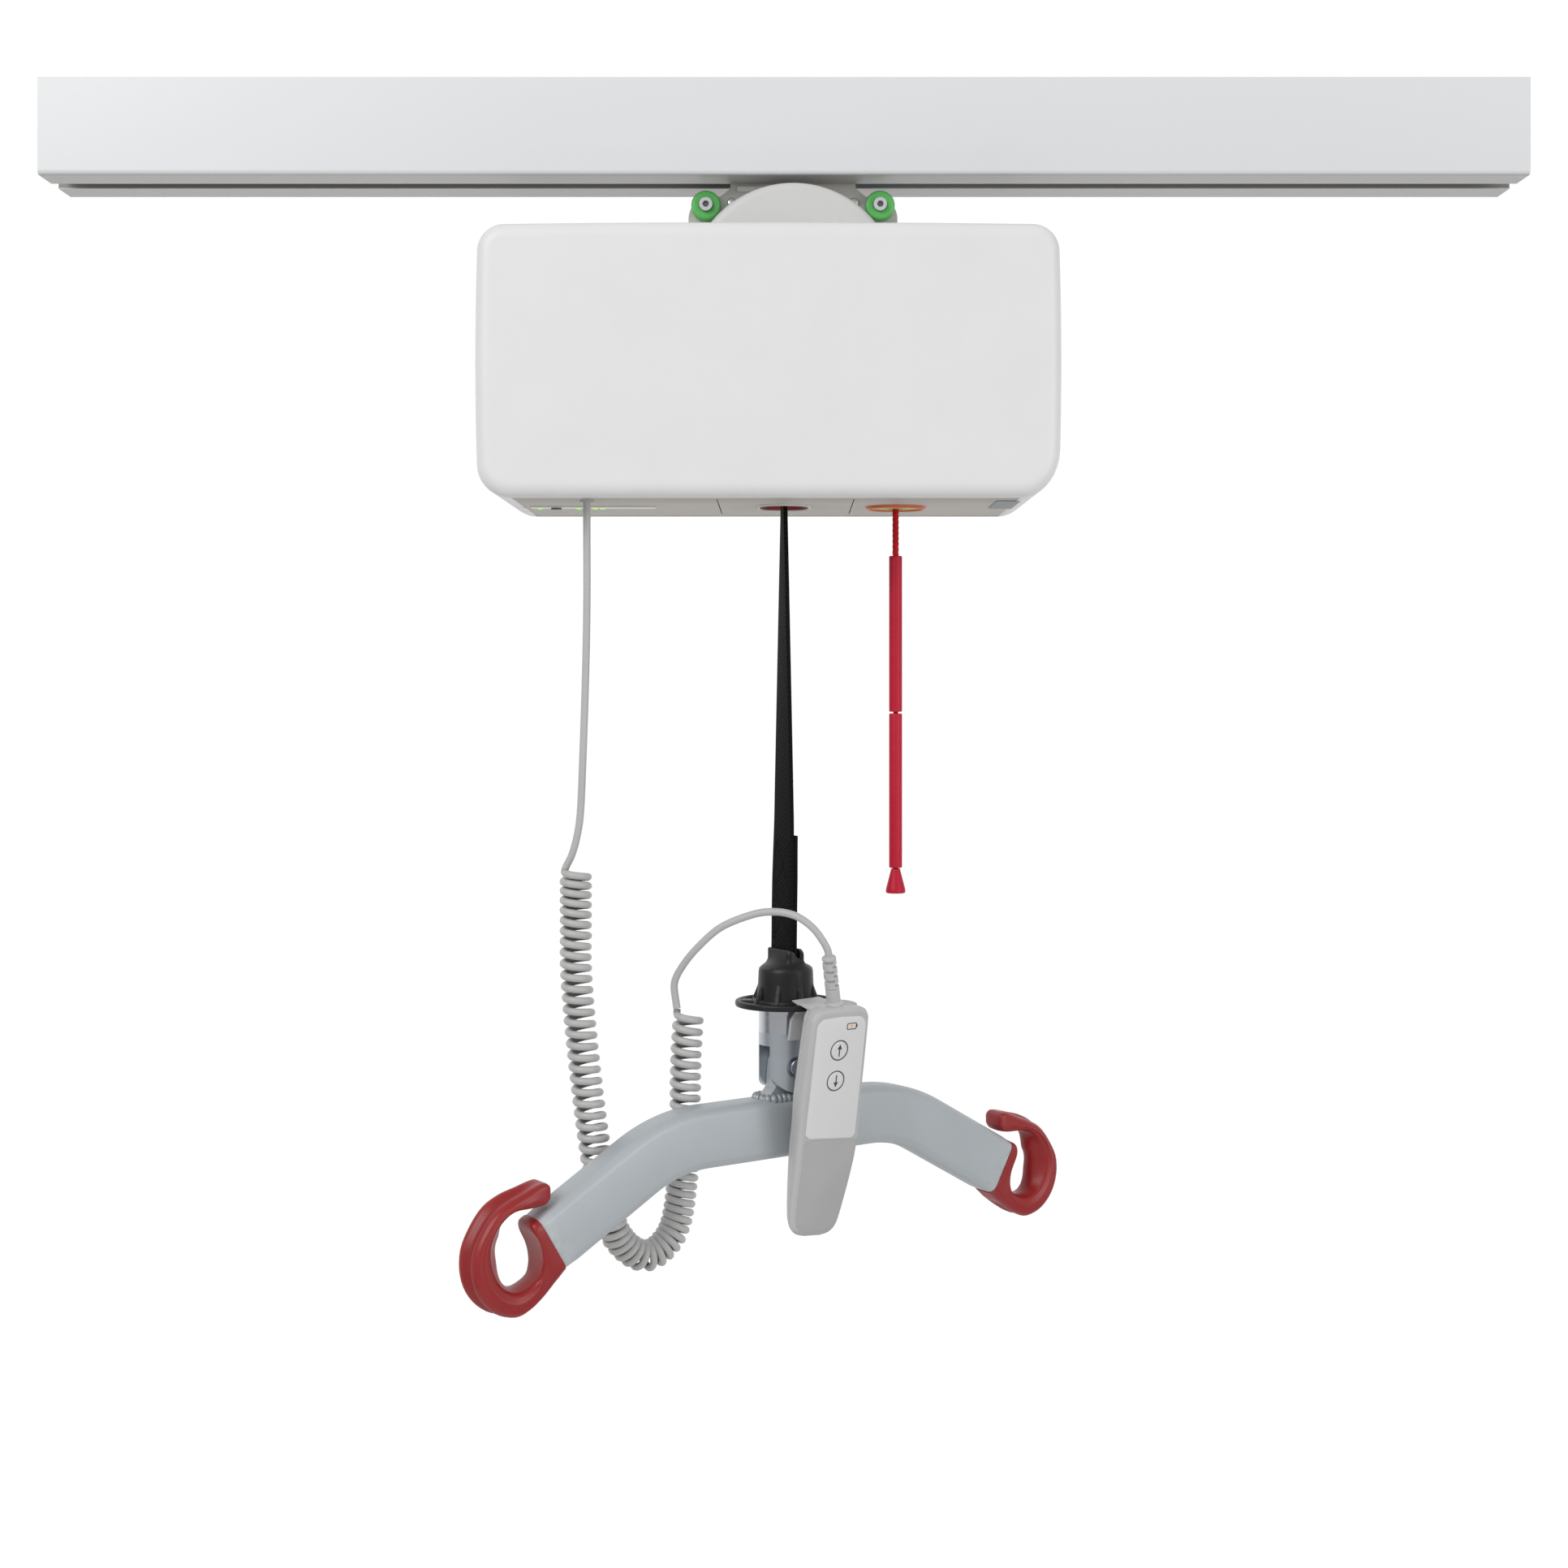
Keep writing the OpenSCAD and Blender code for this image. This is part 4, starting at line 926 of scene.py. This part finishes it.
rings = [hand_ring(-14.12, 2.5, 0.3), hand_ring(-14.45, 2.35), hand_ring(-16.0, 1.5), hand_ring(-18.0, 0.8), hand_ring(-20.5, 0.25), hand_ring(-22.8, 0.0)]
rings += [hand_ring(-22.8 - 3.2 * math.sin(PI / 2 * j / 6), 0.0, 3.2 * (1 - math.cos(PI / 2 * j / 6))) for j in range(1, 7)]
front = put("handset_front_shell", Solid().loft(rings), M["hand"], "handset", ("handset_front",), m=HAND, angle=30)
drill(front, (-23.0, -44.0), HAND)
# painted shade: the lower front faces of the shell, on the right and at the tip, take the darker grey
front.data.materials.append(M["hand_shade"])
back_to_hand = HAND.inverted()
for f in front.data.polygons:
    c = back_to_hand @ (Vector(f.center) * 1000.0)
    if c.z < -85.6 - 0.08 * (c.x - HX) and c.y < -20.0 and (c.x > HX or c.z < -147.0):
        f.material_index = 1
s = Solid().loft([hand_ring(y, d, e) for y, d, e in ((-13.88, 2.6, 0.3), (-13.55, 2.65, 0), (-11.5, 3.2, 0), (-9.5, 4.2, 0), (-7.5, 5.8, 0), (-6.0, 7.8, 0),
                                                     (-5.0, 9.8, 0), (-4.3, 12.0, 0), (-4.0, 14.5, 0))])
hooked = soft([(-16.0, 1.1), (5.0, 1.1), (5.0, -26.0), (7.5, -26.0), (7.5, 4.6), (-16.0, 4.6)], [0, 0.8, 1.1, 1.1, 3.2, 0], 5, True)
# points along the lip, so that it can widen towards the shell
hooked = [q for a, b in zip(hooked, hooked[1:] + hooked[:1]) for q in ([a.lerp(b, j / 8) for j in range(8)] if (b - a).length > 12.0 else [a])]


def lip_place(y, z, x):
    if z <= 1.0:
        w = step((-z - 5.0) / 6.0)
        return Vector((x * (0.62 + 0.36 * w) + 1.5 - 1.7 * w, y, z))
    k = 1 - step((y + 14.0) / 17.0)
    thin = (1 - 0.55 * step((-x - 3.0) / 8.0) * (1 - k)) * (1 - 0.42 * step((y + 10.0) / 14.0))
    return Vector((x * (1 + 0.7 * k) + HX * k, y, 1.1 + (z - 1.1) * thin))



s.slab(hooked, levels(-11.0, 11.0, 1.0, 1.0, 4), lip_place)
put("handset_back_shell", s, M["hand"], "handset", ("handset_back",), m=HAND, angle=30)

# painted shade: a thin plate in the darker grey laid on the lower front of the handset
left = [Vector((HX - (p.x - 4.2), p.y)) for p in HC if -143.0 < p.y < -88.0]
right = [Vector((HX + p.x - 3.0, p.y)) for p in HC if -143.0 < p.y < -86.0]
low = [Vector((HX + x, z)) for x, z in ((-13.9, -145.6), (-11.0, -148.0), (-6.0, -149.4), (6.0, -149.4), (11.6, -147.9), (15.0, -144.9))]
shade_outline = [Vector((HX - 19.9, -85.4))] + left + low + list(reversed(right)) + [Vector((HX + 21.2, -85.4))]
put("handset_shade_plate", Solid().slab(soft(shade_outline, [1.2] + [0] * (len(shade_outline) - 2) + [0.4], 4, True), levels(-25.9, -26.3, 0.0, 0.25, 3), hand_place),
    M["hand_shade"], "handset", m=HAND, angle=30)
pad = soft([(HX - 17.2, -84.0), (HX + 17.2, -84.0), (HX + 20.0, -81.5), (HX + 19.4, -5.2), (HX + 15.4, -0.9), (HX, -0.2), (HX - 15.4, -0.9), (HX - 19.4, -5.2), (HX - 20.0, -81.5)],
           [0.8, 0.8, 0.8, 2.2, 2.6, 0, 2.6, 2.2, 0.8], 4, True)
pad_ob = put("keypad_panel", Solid().slab(pad, levels(-25.95, -26.8, 0.0, 0.35, 3), hand_place), M["keypad"], "handset", ("keypad",), m=HAND, angle=30)
drill(pad_ob, (-23.0, -44.0), HAND)

marks = Solid()
for node, body, z, up in (("up_button", "up_key", -23.0, 1), ("down_button", "down_key", -44.0, -1)):
    s = Solid()
    face = Matrix.Translation((HX, 0, z)) @ Matrix.Rotation(PI / 2, 4, "X")
    s.turn([tuple(p) for p in soft([(0.0, 27.25), (5.3, 27.2), (6.2, 26.8), (6.2, 22.3), (0.0, 22.3)], [0, 0.8, 0.4, 0.2, 0], 4)], 48, face, caps=False, kind=0)
    arrow = [Vector((HX + x, z + up * y)) for x, y in ((-0.4, -4.1), (0.4, -4.1), (0.4, 1.0), (1.8, 0.6), (0.0, 4.2), (-1.8, 0.6), (-0.4, 1.0))]
    s.slab(arrow if up > 0 else arrow[::-1], [(-27.1, 0.0), (-27.33, 0.0), (-27.38, 0.06)], hand_place, kind=1)
    put(node + "_cap", s, [M["keypad"], M["ink"]], body, (node,), m=HAND, angle=35)
    marks.turn([tuple(p) for p in soft([(6.45, 26.7), (7.05, 26.7), (7.05, 26.9), (6.45, 26.9)], 0.06, 2, True)], 64, face, loop=True)
# battery sign: outline, pole and a small amber lamp
o, i_ = box_loop(11.5, 19.1, -9.3, -4.8, 0.8, 0.8, 3), box_loop(12.05, 18.55, -8.75, -5.35, 0.4, 0.4, 3)
marks.loft([[hand_place(p.x, p.y, y) for p in lp] for lp, y in ((o, -26.7), (o, -26.92), (i_, -26.92), (i_, -26.7))], loop=True)
marks.slab(box_loop(19.0, 19.8, -8.0, -6.1, 0.25, 0.25, 2), [(-26.7, 0.0), (-26.9, 0.0), (-26.94, 0.05)], hand_place)
put("keypad_marks", marks, M["ink"], "handset", m=HAND, angle=35)
lamp = Matrix.Translation((15.3, 0, -7.05)) @ Matrix.Rotation(PI / 2, 4, "X")
put("battery_lamp", Solid().turn([tuple(p) for p in soft([(0.0, 27.05), (0.75, 27.0), (1.05, 26.7), (0.0, 26.7)], [0, 0.3, 0.1, 0], 4)], 24, lamp, caps=False),
    M["amber"], "handset", m=HAND)


# strain relief: plain foot, then half rings that alternate from side to side
def relief(h, a):
    def notch(q):
        q = abs((q + 3.3) % 6.6 - 3.3)
        return 1 - step((q - 0.7) / 0.5)
    left = step((0.3 - math.cos(a)) / 0.6)
    cut = (left * notch(h - 17.6) + (1 - left) * notch(h - 14.3)) * step((h - 11.5) / 0.5) * (1 - step((h - 32.4) / 0.4))
    return 4.65 + 1.5 * (1 - step((h - 0.2) / 2.6)) - 2.1 * cut - 1.5 * step((h - 33.2) / 1.2) ** 2



rings = []
for i in range(193):
    h = -4.0 + 38.4 * i / 192
    rings.append([Vector((relief(h, 2 * PI * k / 44) * math.cos(2 * PI * k / 44), relief(h, 2 * PI * k / 44) * math.sin(2 * PI * k / 44), h)) for k in range(44)])
put("strain_relief_ribbed", Solid().loft(rings), M["hand"], "handset", ("strain_relief",),
    m=RELIEF, angle=45)


# ---------------------------------------------------------------- finish of the parts that keep their own shape
KEEP = {
    "rail": ("rail", 0.5), "end_stops": ("rubber", 1.0), "carriage_block": ("grey_steel", 0.6), "left_axle": ("steel", 0.5), "right_axle": ("steel", 0.5),
    "left_wheels": ("wheel", 0.9), "right_wheels": ("wheel", 0.9), "hanger_plate": ("beige", 0.7), "roller_bolts": ("bolt", 0.4),
    "bottom_panel": ("greige", 0.5), "strap_guide": ("greige", 0.5), "chassis_plates": ("grey_steel", 0.4),
    "suspension_pin": ("steel", 0.6), "gearbox": ("gear", 0.8), "motor": ("motor", 0.8), "drum_bearings": ("steel", 0.4), "drum_shaft": ("steel", 0.5),
    "strap_drum": ("drum", 0.5), "battery_packs": ("battery", 1.0), "control_board": ("board", 0.3), "indicator_strip": ("strip", 0.25),
    "indicator_lenses": ("lens", 0.25), "power_button": ("button", 0.4), "charging_window": ("window", 0.4), "cable_gland": ("cord", 0.6),
    "release_lever": ("lever", 0.6), "yoke": ("steel", 0.4), "strap_pin": ("steel", 0.4),
    "swivel_collar": ("polish", 0.7), "fork": ("alu", 0.7), "pivot_bolt": ("polish", 0.6), "pivot_nut": ("steel", 0.5), "bar_lug": ("lug", 0.8),
    "handset_board": ("board", 0.3),
}
for name, (key, w) in KEEP.items():
    ob = NODE[name]
    if ob.material_slots:
        for sl in ob.material_slots:
            sl.material = M[key]
    else:
        ob.data.materials.append(M[key])
    bv = ob.modifiers.new("edge", "BEVEL")
    bv.width, bv.segments, bv.limit_method, bv.angle_limit, bv.harden_normals = w * 0.001, 2, "ANGLE", math.radians(42), True

bpy.context.view_layer.update()
